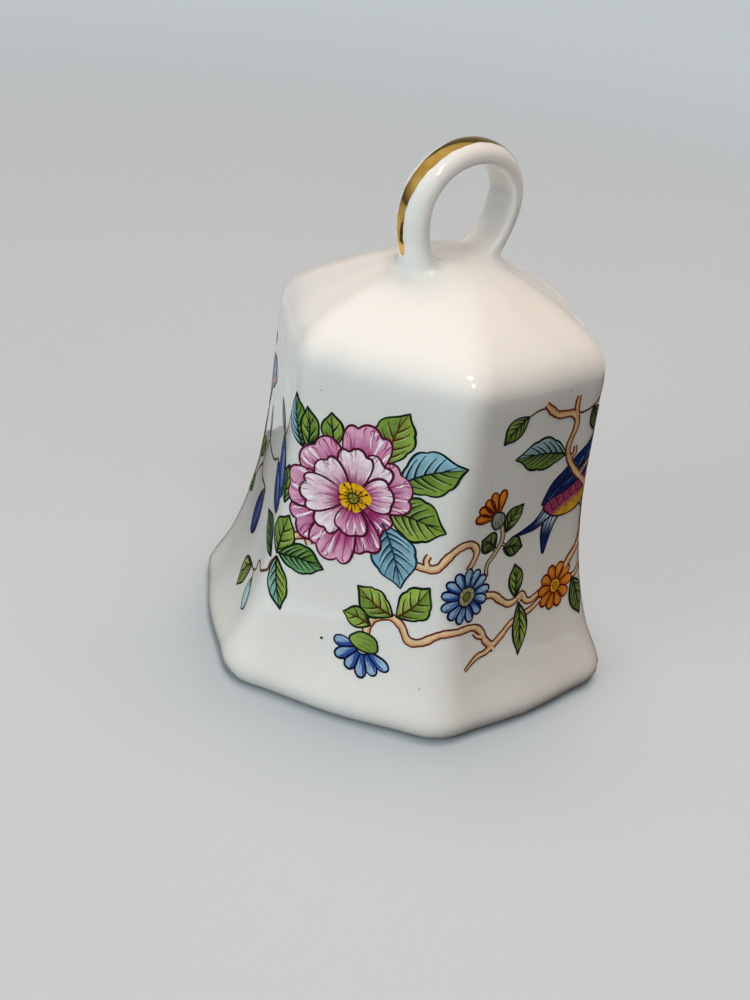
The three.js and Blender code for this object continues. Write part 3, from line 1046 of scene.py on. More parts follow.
def leaf(
    paint, base, tip, width, left, right, bend, veins, level,
    teeth=0.0, lobes=3, vein_ink=LEAF_INK, ink=LEAF_INK,
):
    """A leaf with a wash on each side of its midrib; width is its half width."""
    length, forward, across = axis_of(base, tip)
    left, right = rgb(left), rgb(right)

    def middle(place):
        place = np.asarray(place, float)
        sag = bend * length * 4 * place * (1 - place)
        return base + forward * (length * place)[..., None] + across * sag[..., None]

    def half_width(place, side=1):
        place = np.clip(place, 0, 1)
        profile = (1 - (1 - place) ** 2.2) * (1 - place**2.3) / 0.66
        near_tip = smooth((place - 0.72) / 0.24) * (1 - smooth((place - 0.97) / 0.03))
        phase = 0.35 if side > 0 else 0.0
        wave = 2.2 * (np.abs(np.sin((lobes * place + phase) * math.pi)) ** 0.75 - 0.55)
        edge = 1 + teeth * wave * np.clip(np.sin(math.pi * place) * 1.8, 0, 1)
        return width * (profile * (1 - 0.34 * near_tip)) * edge

    place = np.linspace(0, 1, max(12, int(length / 0.28)))
    left_edge = middle(place) + across * half_width(place, 1)[:, None]
    right_edge = middle(place) - across * half_width(place, -1)[:, None]
    outline = spaced(np.vstack([left_edge, right_edge[-2:0:-1]]), 0.05)
    tone = RNG.uniform(0.94, 1.06)

    def wash(spots):
        """Stronger by the midrib and the base, and pale towards the edge."""
        place = np.clip(((spots - base) @ forward) / length, 0, 1)
        off = ((spots - middle(place)) * across).sum(1)
        share = np.clip(np.abs(off) / np.maximum(half_width(place), 0.2), 0, 1)
        strength = 0.72 + 0.36 * share + 0.06 * np.sin(place * 21 + 3 * share)
        strength = strength * (0.86 + 0.18 * place) * tone
        return np.where((off > 0)[:, None], left, right) * strength[:, None]

    place = np.linspace(0.06, 0.94, max(6, int(length / 0.5)))
    beside_midrib = np.vstack([middle(place) + across * 0.09, middle(place) - across * 0.09])
    height = layer(level)
    fill(paint, outline, wash, height, extra=beside_midrib)
    vein_height = height + 0.004
    for side in (1, -1):
        color = left if side > 0 else right
        for i in range(veins):
            root = 0.10 + 0.66 * (i + 0.3 * (side > 0)) / veins + RNG.uniform(-0.02, 0.02)
            reach = min(root + 0.20 + 0.05 * (1 - root), 0.95)
            start = middle(root)
            end = middle(reach) + across * side * half_width(reach, side) * RNG.uniform(0.66, 0.86)
            span = np.linalg.norm(end - start)
            control = (start + end) / 2 - forward * 0.16 * span + across * side * 0.05
            count = max(5, int(span / 0.3))
            t = np.linspace(0, 1, count)[:, None]
            line = (1 - t) ** 2 * start + 2 * t * (1 - t) * control + t**2 * end
            # the tip of a vein flicks forward
            line = line + forward * (0.10 * span * np.clip(t - 0.6, 0, 1) ** 2 * 3)
            if width > 1.5:  # a shadow ahead of the vein and a glow behind it
                part = max(3, int(count * 0.75))
                shadow = line[:part] + forward * 0.26
                stroke(paint, shadow, taper(part, 0.46, 0.10), color * 0.50, vein_height - 0.0015)
                glow = line[1:-1] - forward * 0.36
                pale = np.clip(color + 0.10, 0, 1)
                stroke(paint, glow, taper(count - 2, 0.12, 0.30), pale, vein_height - 0.0012)
            stroke(paint, line, taper(count, 0.36, 0.14), vein_ink, vein_height)
    place = np.linspace(0.0, 0.95, max(8, int(length / 0.35)))
    stroke(paint, middle(place), taper(len(place), 0.42, 0.14), vein_ink, vein_height + 0.001)
    stroke(paint, outline, hand(outline, 0.36), ink, height + 0.006, closed=True)


def petal(
    paint, center, angle, length, spread, washes, level,
    lobes, waves, phase, streaks, reach, inner, pale, width=0.46,
):
    """A broad petal fanning out from center; washes are its colours at base, middle and edge."""
    facing, spread = math.radians(angle), math.radians(spread)
    base_wash, middle_wash, edge_wash = (rgb(code) for code in washes)

    def rim(offset):
        share = np.clip(np.abs(offset) / spread, 0, 1)
        wave = np.abs(np.sin(waves * (offset / spread + 1) * math.pi * 0.5 + phase)) ** 0.7 - 0.62
        return length * (1 - share**3.4) ** 0.40 * (1 + lobes * 1.6 * wave)

    share = np.linspace(-1, 1, max(18, int(2 * spread * length / 0.32)))
    offset = spread * np.sign(share) * np.abs(share) ** 0.75
    edge = center + polar(facing + offset, np.maximum(rim(offset), 0.02))

    def side(end, start_share, end_share):
        count = max(3, int(np.linalg.norm(end - center) / 0.5))
        return center + (end - center) * np.linspace(start_share, end_share, count)[:, None]

    outline = spaced(np.vstack([side(edge[0], 0.06, 0.9), edge, side(edge[-1], 0.9, 0.06)]), 0.06)

    def wash(spots):
        away = spots - center
        offset = np.arctan2(away[:, 1], away[:, 0]) - facing
        offset = (offset + math.pi) % (2 * math.pi) - math.pi
        share = np.hypot(away[:, 0], away[:, 1]) / np.maximum(rim(offset), 0.3)
        share = np.clip(share, 0, 1)
        to_middle = smooth((share - 0.25) / 0.35)[:, None]
        to_edge = smooth((share - 0.62) / 0.33)[:, None]
        color = base_wash * (1 - to_middle) + middle_wash * to_middle
        color = color * (1 - to_edge) + edge_wash * to_edge
        shade = 1 + 0.07 * np.sin(offset * 23 / spread + 1.3) + 0.05 * np.sin(offset * 41 / spread)
        return color * shade[:, None]

    height = layer(level)
    fill(paint, outline, wash, height, spacing=0.5)

    def ray(offset, start, end, widths, first, last, lift):
        if abs(end - start) < 0.5:
            return
        count = max(4, int(abs(end - start) / 0.3))
        bow = RNG.uniform(-0.05, 0.05) * np.sin(np.linspace(0, math.pi, count))
        line = center + polar(facing + offset + bow, np.linspace(start, end, count))
        t = np.linspace(0, 1, count)[:, None]
        color = first * (1 - t) + last * t
        stroke(paint, line, taper(count, *widths, swell=0.3), color, height + lift)

    white, streak = np.array([0.94, 0.87, 0.91]), rgb("#96285f")
    for _ in range(pale):  # pale strokes in from the edge
        offset = spread * RNG.uniform(-0.8, 0.8)
        far = rim(offset)
        end = far * RNG.uniform(0.55, 0.75)
        ray(offset, far * 0.955, end, (0.42, 0.08), white, white, 0.0022)
    for i in range(streaks):  # strong streaks out from the base
        share = ((i + 0.5) / streaks * 2 - 1) * 0.84 + RNG.uniform(-0.05, 0.05)
        offset = spread * share
        end = rim(offset) * RNG.uniform(*reach)
        faded = 0.45 * streak + 0.55 * middle_wash
        ray(offset, inner * length, end, (width, 0.08), streak, faded, 0.003)
    for _ in range(int(streaks * 0.8)):  # short streaks in from the edge
        offset = spread * RNG.uniform(-0.88, 0.88)
        far = rim(offset)
        end = far * RNG.uniform(0.74, 0.88)
        first = streak * 0.6 + middle_wash * 0.4
        last = streak * 0.4 + middle_wash * 0.6
        ray(offset, far * 0.97, end, (0.26, 0.06), first, last, 0.0026)
    stroke(paint, edge, hand(edge, 0.38), MAROON, height + 0.005)


def round_petal(
    paint, center, angle, start, end, half_width, light, dark, ink, height, squash, side, heavy
):
    """One spoon-shaped petal with a dark brush stroke down one side."""
    forward = polar(math.radians(angle), 1.0)
    across = left_of(forward)
    place = np.concatenate([np.linspace(0, 0.8, 8), [0.87, 0.92, 0.96, 0.99, 1.0]])
    profile = half_width * np.where(
        place < 0.66,
        0.42 + 0.58 * smooth(place / 0.66),
        np.sqrt(np.clip(1 - ((place - 0.66) / 0.345) ** 2, 0, 1)),
    )

    def squashed(points):
        points[:, 1] = center[1] + (points[:, 1] - center[1]) * squash
        return points

    axis = center + forward * (start + (end - start) * place)[:, None]
    offset = across * profile[:, None]
    outline = squashed(np.vstack([axis + offset, (axis - offset)[-2::-1]]))

    def wash(spots):
        share = np.clip((np.hypot(*(spots - center).T) - start) / (end - start), 0, 1)
        share = smooth((share - 0.05) / 0.4)[:, None]
        return dark * (1 - share) + light * share

    fill(paint, outline, wash, height, spacing=0.42)
    count = 8
    along = np.linspace(0.05, 0.86, count)
    line = center + forward * (start + (end - start) * along)[:, None]
    offset = across * (side * np.interp(along, place, profile))[:, None]
    widths = half_width * heavy * np.sin(np.linspace(0.9, 2.9, count)) + 0.05
    stroke(paint, squashed(line + offset * 0.55), widths, dark, height + 0.003)
    fine = squashed((line - offset * 0.15)[: count - 2])
    stroke(paint, fine, taper(count - 2, 0.22, 0.07), dark * 0.8, height + 0.0032)
    stroke(paint, outline, hand(outline, 0.32), ink, height + 0.005, closed=True)


def petal_ring(
    paint, center, radius, count, light, dark, ink, hub, heavy,
    start=0.0, arc=360.0, squash=1.0, wide=1.0, ragged=0.05,
):
    """Round-ended petals, shaded on the side away from the light; returns the next height."""
    light, dark = rgb(light), rgb(dark)
    height = layer(3)
    first = 0 if arc == 360 else 0.5
    half_width = 0.5 * 2 * math.pi * 0.70 * radius * (arc / 360) / count * 1.02 * wide
    for i in range(count):
        angle = start + (i + first) * arc / count + RNG.uniform(-2.0, 2.0)
        toward = math.cos(math.radians(angle - 48))
        lee = 0.5 - 0.5 * toward
        round_petal(
            paint, center, angle, hub * 0.7 * radius,
            radius * RNG.uniform(1 - ragged, 1 + ragged * 0.6),
            half_width, light * (1 - 0.30 * lee) + dark * 0.16 * lee, dark, ink, height, squash,
            side=1 if toward < 0 else -1, heavy=heavy * (0.45 + 0.9 * lee),
        )
        height += 0.0006
    return height


def daisy_disc(paint, center, radius, color, eye, ink, height):
    outline = blob(center, radius, radius, count=22, wobble=0.03, phase=1.0)
    color = rgb(color)

    def wash(spots):
        share = np.clip(np.hypot(*(spots - center).T) / radius, 0, 1)
        return color * (0.75 + 0.35 * share)[:, None]

    fill(paint, outline, wash, height + 0.006, spacing=0.35)
    stroke(paint, outline, 0.32, ink, height + 0.010, closed=True)
    outline = blob(center, 0.5 * radius, 0.5 * radius, count=12, wobble=0.05)
    fill(paint, outline, rgb(eye), height + 0.010, spacing=0.3)
    stroke(paint, outline, 0.16, ink, height + 0.013, closed=True)
    for i in range(9):
        dot = center + polar(i / 9 * 2 * math.pi + 0.2, 0.78 * radius)
        fill(paint, blob(dot, 0.12, 0.12, count=7), ink, height + 0.012, spacing=0.3)


def branch(paint, lines, level, ink="#6e3420", wash="#eccfa8", edge=0.30):
    """Branches that meet share one outline: every dark line first, then every wash.

    Each line holds (x, z, width) stations.
    """
    ink, wash = rgb(ink), rgb(wash)
    height = layer(level)
    ready = []
    for stations in lines:
        line = catmull([[*canvas(x, z), width] for x, z, width in stations], 0.30)
        k = np.arange(len(line))
        knots = 1 + 0.10 * np.sin(k * 0.55 + len(line)) + 0.05 * np.sin(k * 1.3)
        ready.append((line[:, :2], line[:, 2] * knots))
    for line, width in ready:
        stroke(paint, line, width + edge * 1.9, ink, height)
    for line, width in ready:
        share = np.linspace(0, 1, len(line))[:, None]
        color = wash * (0.95 + 0.08 * np.sin(share * 17))
        stroke(paint, line, np.maximum(width - edge * 0.2, 0.14), color, height + 0.005)
    for line, width in ready:
        # a warm shadow along the right-hand side
        if width.max() > 0.62 and len(line) > 8:
            across = left_of(unit(np.gradient(line, axis=0)))
            shadow = (line - across * (width * 0.27)[:, None])[2:-2]
            stroke(paint, shadow, (width * 0.24)[2:-2], rgb("#dca06c"), height + 0.006)


def teardrop(paint, base, tip, width, wash, light, ink, level, calyx):
    """A hanging bud, narrow at its base; width is its half width."""
    length, forward, across = axis_of(base, tip)
    wash, light = rgb(wash), rgb(light)

    def half_width(place):
        return width * place**0.7 * (1 - place**3.5) ** 0.8 / 0.72

    place = np.linspace(0, 1, max(10, int(length / 0.4)))
    middle = base + forward * (length * place)[:, None]
    offset = across * half_width(place)[:, None]
    outline = np.vstack([middle + offset, (middle - offset)[-2:0:-1]])
    height = layer(level)

    def shaded(spots):
        return wash * (1 - 0.3 * np.clip(((spots - base) @ across) / width, -1, 1))[:, None]

    fill(paint, outline, shaded, height, spacing=0.45)
    place = np.linspace(0.25, 0.82, 8)
    # (share of the half width to the left, colour, line width as a share of the bud's)
    for share, color, thickness in (
        (0.30, light, 0.16), (-0.1, light * 0.7 + wash * 0.3, 0.10), (-0.45, wash * 0.5, 0.12),
    ):
        offset = across * (half_width(place) * share)[:, None]
        line = base + forward * (length * place)[:, None] + offset
        widths = thickness * width * np.sin(np.linspace(0.3, 2.9, 8)) + 0.05
        stroke(paint, line, widths, color, height + 0.003)
    stroke(paint, outline, hand(outline, 0.34), ink, height + 0.005, closed=True)
    if calyx:
        t = np.linspace(0, 1, 6)[:, None]
        for angle in (-0.6, 0.0, 0.6):
            end = base + (forward * math.cos(angle) + across * math.sin(angle)) * width * 1.05
            line = base * (1 - t) + end * t
            stroke(paint, line, taper(6, 0.7, 0.16), rgb(calyx), height + 0.006)
            stroke(paint, line, taper(6, 0.2, 0.08), ink, height + 0.008)


def cup(paint, center, angle, radius_x, radius_y, wash, ink):
    """The green or grey cup under a flower seen from the side."""
    height = layer(5)
    outline = blob(center, radius_x, radius_y, angle, count=20, wobble=0.05, phase=0.5)
    wash = rgb(wash)
    forward = polar(math.radians(angle), 1.0)
    across = left_of(forward)

    def shaded(spots):
        share = np.clip(((spots - center) @ forward) / radius_x, -1, 1)
        return wash * (0.95 + 0.25 * share)[:, None]

    fill(paint, outline, shaded, height, spacing=0.4)
    stroke(paint, outline, 0.32, ink, height + 0.004, closed=True)
    place = np.linspace(-0.5, 0.45, 5)
    for share in (-0.4, 0.1, 0.5):
        offset = across * (radius_y * share * (1 - 0.3 * place))[:, None]
        line = center + forward * (radius_x * place)[:, None] + offset
        stroke(paint, line, taper(5, 0.2, 0.07), wash * 0.5, height + 0.003)


# ------------------------------------------------------------------ branches, behind everything
# Each line is a list of (x, z, width) stations.
LEFT_BRANCHES = [
    [
        (-9.2, 29.0, 1.0), (-7.4, 28.0, 0.95), (-4.6, 27.5, 1.0), (-2.4, 28.0, 0.95),
        (-0.9, 30.0, 0.95), (0.8, 31.8, 0.9), (2.8, 32.2, 0.95), (4.3, 30.8, 0.95),
        (3.9, 29.0, 0.75), (2.9, 27.6, 0.6),
    ],
    [(-9.4, 32.0, 0.7), (-8.4, 30.2, 0.7), (-6.6, 28.2, 0.7)],
    [(-3.9, 29.8, 0.5), (-4.3, 28.8, 0.7), (-4.0, 27.9, 0.7)],
    [(-27.0, 26.6, 0.7), (-25.2, 27.2, 1.0), (-23.2, 27.5, 0.9), (-21.8, 27.8, 0.8)],
    [(-24.6, 27.2, 0.8), (-24.0, 25.9, 0.75)],
]
LOW_BRANCHES = [
    [
        (-12.9, 13.6, 0.95), (-12.9, 15.8, 0.95), (-11.4, 17.6, 0.95), (-9.2, 18.2, 0.95),
        (-7.3, 17.2, 0.95), (-6.0, 15.2, 1.05), (-3.9, 15.4, 0.9), (-0.9, 17.2, 0.85),
        (2.6, 17.6, 0.85), (5.6, 17.5, 0.8), (7.2, 16.4, 0.85), (8.2, 14.8, 0.85),
        (9.8, 13.8, 0.85), (11.6, 14.8, 0.8), (13.4, 16.2, 0.75), (15.8, 17.0, 0.75),
        (18.4, 17.6, 0.7), (20.6, 18.8, 0.6),
    ],
    [(9.8, 13.7, 0.7), (8.4, 12.9, 0.7), (6.8, 12.6, 0.6), (5.4, 11.8, 0.4), (4.2, 10.9, 0.2)],
    [(9.0, 14.2, 0.6), (10.2, 12.9, 0.7)],
    [(5.6, 16.6, 0.3), (6.4, 15.9, 0.45), (7.6, 15.5, 0.4)],
    [
        (7.4, 22.4, 0.8), (9.2, 22.0, 0.9), (10.8, 20.8, 0.9), (12.6, 19.8, 0.85),
        (14.2, 20.0, 0.8), (15.5, 20.7, 0.8), (16.6, 19.4, 0.8), (18.0, 19.1, 0.8),
        (20.0, 19.8, 0.75),
    ],
    [(14.8, 19.2, 0.4), (15.4, 20.2, 0.4)],
    [
        (27.2, 20.4, 0.7), (29.2, 20.8, 0.7), (31.0, 22.4, 0.65), (31.8, 25.6, 0.6),
        (31.6, 28.6, 0.5),
    ],
]
GREY_STEM = [
    [
        (7.0, 25.6, 0.42), (7.0, 27.7, 0.48), (8.4, 29.4, 0.5), (9.5, 31.4, 0.52),
        (9.2, 33.6, 0.55), (8.4, 34.9, 0.6),
    ],
    [(8.8, 29.8, 0.2), (7.6, 30.3, 0.2)],
    [(9.4, 30.8, 0.2), (10.4, 30.3, 0.2)],
    [(9.5, 32.0, 0.2), (10.2, 33.4, 0.2)],
]
# start width, end width, then (x, z) points
TENDRILS = [
    (0.46, 0.34, [
        (-30.0, 21.9), (-31.2, 20.4), (-31.8, 19.1), (-33.2, 18.2), (-34.9, 17.5),
        (-36.4, 18.1), (-37.2, 17.6), (-37.8, 16.2), (-39.2, 15.5), (-40.5, 15.6),
    ]),
    (0.30, 0.30, [(-39.0, 15.6), (-38.7, 15.1), (-38.6, 14.5)]),
    (0.32, 0.36, [(10.6, 52.6), (12.8, 53.5), (14.6, 53.6)]),
    (0.40, 0.34, [(22.6, 51.0), (24.0, 50.9), (25.8, 51.4), (28.0, 52.6)]),
    (0.52, 0.40, [(-46.8, 34.0), (-43.6, 33.4), (-40.2, 33.5), (-37.2, 35.1)]),
    (0.62, 0.48, [
        (-46.8, 34.0), (-48.8, 31.6), (-50.2, 29.4), (-50.4, 27.8), (-48.0, 26.6),
        (-45.2, 26.9), (-43.1, 26.9),
    ]),
    (0.56, 0.20, [(-50.4, 27.9), (-52.8, 26.5), (-55.0, 24.6), (-56.4, 22.6), (-56.8, 21.0)]),
    (0.4, 0.3, [(-31.4, 46.6), (-32.6, 43.2), (-33.8, 41.2)]),
]


def paint_branches():
    wood = Paint("painted_branches")
    branch(wood, LEFT_BRANCHES, level=0)
    branch(wood, LOW_BRANCHES, level=1)
    branch(wood, GREY_STEM, level=1, ink="#4a3c30", wash="#cdbfa6", edge=0.24)
    for start_width, end_width, places in TENDRILS:
        thin_line(wood, places, start_width, end_width, "#6a4430", level=1)
    wood.make()


# ------------------------------------------------------------------ foliage
LIME, GREEN, DEEP, DARK = "#93ad4c", "#7c9c42", "#64903e", "#4c7c40"
SKY, MIST = "#93bfd2", "#84b2c8"
RUST_INK, UMBER_INK, BLUE_INK = rgb("#5a2c16"), rgb("#4a3216"), rgb("#1c3a50")
# base x, z, tip x, z, half width, left and right colour, bend, veins, level,
# then if not the default: teeth, lobes, vein ink, outline ink
LEAVES = [
    (-26.9, 42.2, -29.7, 50.4, 2.5, SKY, DEEP, 0.06, 5, 1, 0.03),
    (-26.0, 42.2, -26.8, 49.2, 1.7, LIME, GREEN, -0.06, 3, 2, 0.05, 2),
    (-21.4, 43.8, -22.6, 49.4, 2.0, GREEN, LIME, 0.03, 2, 1),
    (-12.4, 43.4, -10.0, 52.7, 3.5, GREEN, LIME, 0.08, 4, 1, 0.05, 3, RUST_INK),
    (-10.4, 40.2, 0.2, 45.5, 3.9, SKY, GREEN, 0.07, 5, 1, 0.055),
    (-11.6, 35.6, -1.7, 34.2, 3.9, GREEN, LIME, 0.03, 5, 2, 0.05),
    (-12.0, 33.2, -8.0, 23.2, 3.9, SKY, MIST, 0.04, 6, 1, 0.05, 3, BLUE_INK, BLUE_INK),
    (-29.9, 22.6, -28.0, 29.7, 2.5, GREEN, LIME, 0.02, 3, 2, 0.05),
    (-29.4, 22.8, -21.2, 22.6, 2.5, DEEP, "#6aa06a", 0.06, 5, 3, 0.04),
    (-29.8, 22.1, -28.3, 14.0, 2.0, LIME, "#8cbcae", -0.03, 4, 3, 0.04),
    (-31.4, 21.4, -38.2, 25.8, 2.3, "#5c7a4a", "#41603c", -0.08, 3, 1),
    (-29.6, 31.2, -29.5, 37.8, 1.9, DEEP, GREEN, 0.04, 3, 1, 0.08, 2),
    (-34.6, 41.0, -38.6, 45.2, 0.95, "#a3aaa2", "#858e86", 0.03, 2, 2),
    (-46.8, 33.8, -49.0, 39.0, 0.95, "#a3aaa2", "#858e86", 0.03, 2, 2),
    (-40.6, 15.6, -45.9, 10.0, 1.8, "#8fa052", "#9aa860", -0.12, 3, 1),
    (-8.8, 18.4, -15.0, 21.8, 2.5, GREEN, "#a0bc58", 0.07, 3, 2, 0.05, 3, UMBER_INK),
    (-8.2, 18.4, -3.2, 24.5, 2.7, "#a0bc58", GREEN, -0.07, 3, 2, 0.05, 3, UMBER_INK),
    (-12.4, 16.0, -17.2, 17.0, 1.8, "#93b250", GREEN, -0.06, 2, 2, 0.0, 3, UMBER_INK),
    (14.0, 20.6, 13.1, 26.4, 1.6, "#8ea44a", "#7a9444", -0.05, 3, 2),
    (14.9, 19.4, 15.6, 10.8, 1.7, "#a4b65a", "#8ca24c", 0.06, 4, 2),
    (28.2, 20.0, 31.2, 13.2, 2.0, "#7a8a46", "#66783e", 0.04, 3, 2),
    (10.0, 32.7, 13.2, 37.0, 1.6, "#6e8040", "#82964a", 0.10, 3, 2),
    (8.2, 30.4, 5.2, 32.2, 1.9, "#5a6c38", "#6c7e40", -0.08, 2, 2),
    (10.0, 29.8, 14.2, 29.2, 1.8, "#6c7e40", "#5a6c38", 0.08, 2, 2),
    (10.9, 52.8, 6.6, 48.7, 1.9, "#74883c", "#8ca04a", -0.06, 4, 2),
    (21.6, 43.9, 9.6, 45.5, 2.9, "#6a8840", "#94b4bc", -0.05, 6, 2, 0.055),
    (26.2, 51.4, 29.2, 46.4, 1.9, "#6a7a42", "#5a6a3a", 0.05, 3, 2),
    (31.8, 27.0, 36.0, 31.6, 1.9, GREEN, DEEP, 0.06, 4, 2),
    (31.2, 22.6, 35.6, 20.4, 1.7, DEEP, DARK, -0.06, 4, 2),
]


def paint_leaves():
    green = Paint("painted_leaves")
    for base_x, base_z, tip_x, tip_z, *look in LEAVES:
        leaf(green, canvas(base_x, base_z), canvas(tip_x, tip_z), *look)
    green.make()


# ------------------------------------------------------------------ the large bloom
BLOOM_CENTER = canvas(-17.3, 36.1)
# washes at base, middle and edge
PINK = ("#8a2259", "#c26497", "#e2a9c6")
DEEP_PINK = ("#7e1f54", "#b2508a", "#d28fb4")
PALE_PINK = ("#a03470", "#e9c2d6", "#f6e9ef")
# angle, length, half spread, washes, edge waves, wave phase
OUTER_PETALS = [
    (326, 7.2, 34, DEEP_PINK, 2, 0.3),
    (292, 9.2, 27, DEEP_PINK, 2, 0.2),
    (28, 9.9, 42, PINK, 3, 0.2),
    (140, 10.9, 35, PINK, 2, 0.3),
    (83, 12.6, 30, PINK, 3, 0.0),
    (218, 12.0, 27, DEEP_PINK, 2, 0.4),
    (184, 11.6, 27, PINK, 2, 0.0),
    (251, 11.8, 31, PINK, 3, 0.1),
]
MIDDLE_PETALS = [
    (60, 8.4, 30, PALE_PINK, 2, 0.3),
    (226, 8.2, 32, PALE_PINK, 3, 0.1),
    (94, 8.2, 34, PALE_PINK, 3, 0.5),
    (150, 7.8, 38, PALE_PINK, 3, 0.2),
    (188, 9.0, 33, PALE_PINK, 3, 0.0),
]


def paint_heart(bloom):
    """A soft gold disc with dark stamens and a green eye."""
    height = layer(14.2)
    bright, dull = rgb("#efb820"), rgb("#c98a14")

    def gold(spots):
        away = np.hypot(*(spots - BLOOM_CENTER).T)
        return dull + (bright - dull) * smooth(away / 2.6)[:, None]

    disc = blob(BLOOM_CENTER + np.array([0.1, 0.25]), 2.75, 2.45, count=30, wobble=0.07, phase=0.7)
    fill(bloom, disc, gold, height, spacing=0.4)
    for i in range(15):
        angle = i / 15 * 2 * math.pi + RNG.uniform(-0.12, 0.12)
        reach = np.linspace(1.0, RNG.uniform(1.7, 2.7), 6)
        line = BLOOM_CENTER + polar(angle + 0.05 * reach, reach)
        stroke(bloom, line, taper(6, 0.22, 0.14), rgb("#4a2410"), height + 0.003)
        anther = blob(line[-1], 0.30, 0.22, math.degrees(angle), count=9)
        color = rgb("#5a2a10" if i % 3 else "#e8c23a")
        fill(bloom, anther, color, height + 0.005, spacing=0.3)
    for _ in range(18):
        angle, reach = RNG.uniform(0, 6.28), RNG.uniform(1.2, 2.4)
        grain = blob(BLOOM_CENTER + polar(angle, reach), 0.15, 0.15, count=7)
        fill(bloom, grain, rgb("#8a4a10"), height + 0.004, spacing=0.3)
    eye = blob(BLOOM_CENTER, 0.95, 0.9, count=16, wobble=0.05)
    fill(bloom, eye, rgb("#8a8f34"), height + 0.006, spacing=0.35)
    stroke(bloom, eye, 0.28, rgb("#2c2a14"), height + 0.009, closed=True)
    for angle in (20, 110, 200, 290):
        line = BLOOM_CENTER + polar(math.radians(angle), np.linspace(0.1, 0.7, 4))
        stroke(bloom, line, 0.18, rgb("#3a3c16"), height + 0.010)


def paint_bloom():
    bloom = Paint("painted_bloom")
    outer = dict(lobes=0.06, streaks=10, reach=(0.68, 0.94), inner=0.45, pale=4, width=0.55)
    middle = dict(lobes=0.075, streaks=8, reach=(0.42, 0.72), inner=0.28, pale=2, width=0.52)
    for petals, first_level, look in ((OUTER_PETALS, 1.5, outer), (MIDDLE_PETALS, 8, middle)):
        for rank, (angle, length, spread, washes, waves, phase) in enumerate(petals):
            petal(
                bloom, BLOOM_CENTER, angle, length, spread, washes, first_level + rank * 0.8,
                waves=waves, phase=phase, **look,
            )
    # two small petals folded over the heart's right and lower sides
    fold = dict(lobes=0.05, waves=3, streaks=7, reach=(0.6, 0.9), inner=0.3)
    petal(
        bloom, BLOOM_CENTER + np.array([0.2, 0.4]), 16, 6.4, 44, ("#b35488", "#dca4c2", "#efd2e0"),
        12.2, phase=0.2, pale=5, **fold,
    )
    petal(
        bloom, BLOOM_CENTER + np.array([0.1, -0.3]), 270, 6.1, 44,
        ("#b35488", "#cf83ab", "#dfa4c2"), 13, phase=0.4, pale=6, **fold,
    )
    paint_heart(bloom)
    bloom.make()


# ------------------------------------------------------------------ daisies and buds


def paint_daisies():
    daisies = Paint("painted_daisies")
    # place, radius, petals, light, dark, ink, disc, eye, disc share, stroke weight, start angle
    for place, radius, count, light, dark, ink, disc, eye, hub, heavy, start in (
        ((3.3, 23.2), 4.65, 13, "#9dbfdc", "#2c4c96", NAVY, "#a8a37a", "#6a7038", 0.36, 0.6, 8),
        ((23.8, 19.9), 4.15, 10, "#ea9438", "#b95c1a", rgb("#642008"), "#ecc034", "#c98a1c",
         0.30, 0.30, 4),
    ):
        center = canvas(*place)
        height = petal_ring(
            daisies, center, radius, count, light, dark, ink, hub, heavy, start=start
        )
        daisy_disc(daisies, center, hub * radius, disc, eye, ink, height)
    # side views: part of a ring of petals on a cup
    petal_ring(
        daisies, canvas(-13.4, 12.4), 5.2, 6, "#a4c4e2", "#32549e", NAVY, hub=0.36, heavy=0.6,
        start=166, arc=172, squash=0.92, wide=1.02, ragged=0.08,
    )
    cup(daisies, canvas(-13.2, 13.1), 172, 2.45, 1.55, "#84a04a", LEAF_INK)
    petal_ring(
        daisies, canvas(7.9, 35.7), 4.9, 5, "#ea8e30", "#bd5c18", rgb("#5e1c08"), hub=0.30,
        heavy=0.32, start=74, arc=112, wide=1.15,
    )
    cup(daisies, canvas(8.0, 35.2), 112, 1.55, 1.35, "#8f9688", rgb("#2c2c28"))
    daisies.make()


# base, tip, half width, wash, light, ink, level, calyx colour
BUDS = [
    ((-43.0, 26.8), (-47.6, 18.0), 2.9, "#22306e", "#5c74ac", NAVY, 2, "#6c6c34"),
    ((-34.4, 41.2), (-32.2, 30.6), 2.9, "#33508e", "#a9bfd6", NAVY, 2, "#55703a"),
    ((-36.8, 35.0), (-32.8, 27.8), 2.5, "#263a7a", "#8aa4cc", NAVY, 3, None),
    ((-38.6, 14.4), (-39.6, 9.5), 1.7, "#a9c8ce", "#dbe8ea", rgb("#34525c"), 2, "#6d8446"),
]


def paint_buds():
    buds = Paint("painted_buds")
    for base, tip, *look in BUDS:
        teardrop(buds, canvas(*base), canvas(*tip), *look)
    buds.make()


# ------------------------------------------------------------------ songbird, facing right
# (x, z) outlines
UPPER_TAIL = [
    (19.4, 36.2), (18.0, 34.6), (16.2, 33.0), (13.6, 32.0), (12.2, 31.5), (14.6, 31.5),
    (17.0, 31.7), (19.6, 32.8), (21.2, 34.0),
]
LOWER_TAIL = [
    (22.6, 33.6), (21.4, 31.2), (20.4, 28.6), (19.6, 26.6), (18.9, 28.4), (18.5, 30.4),
    (18.8, 32.6), (20.4, 34.8),
]
BODY = [
    (18.2, 35.4), (19.6, 33.6), (21.6, 32.7), (24.6, 32.5), (27.4, 33.6), (29.6, 35.8),
    (31.6, 39.2), (32.0, 42.0), (29.6, 43.2), (26.6, 41.0), (22.4, 38.2),
]
HEAD = [
    (29.6, 42.6), (30.4, 45.4), (32.6, 46.6), (34.8, 45.8), (35.6, 43.8), (34.4, 41.8),
    (32.2, 40.8), (30.2, 41.0),
]
BEAK = [(35.4, 44.6), (37.6, 44.0), (35.4, 43.2)]
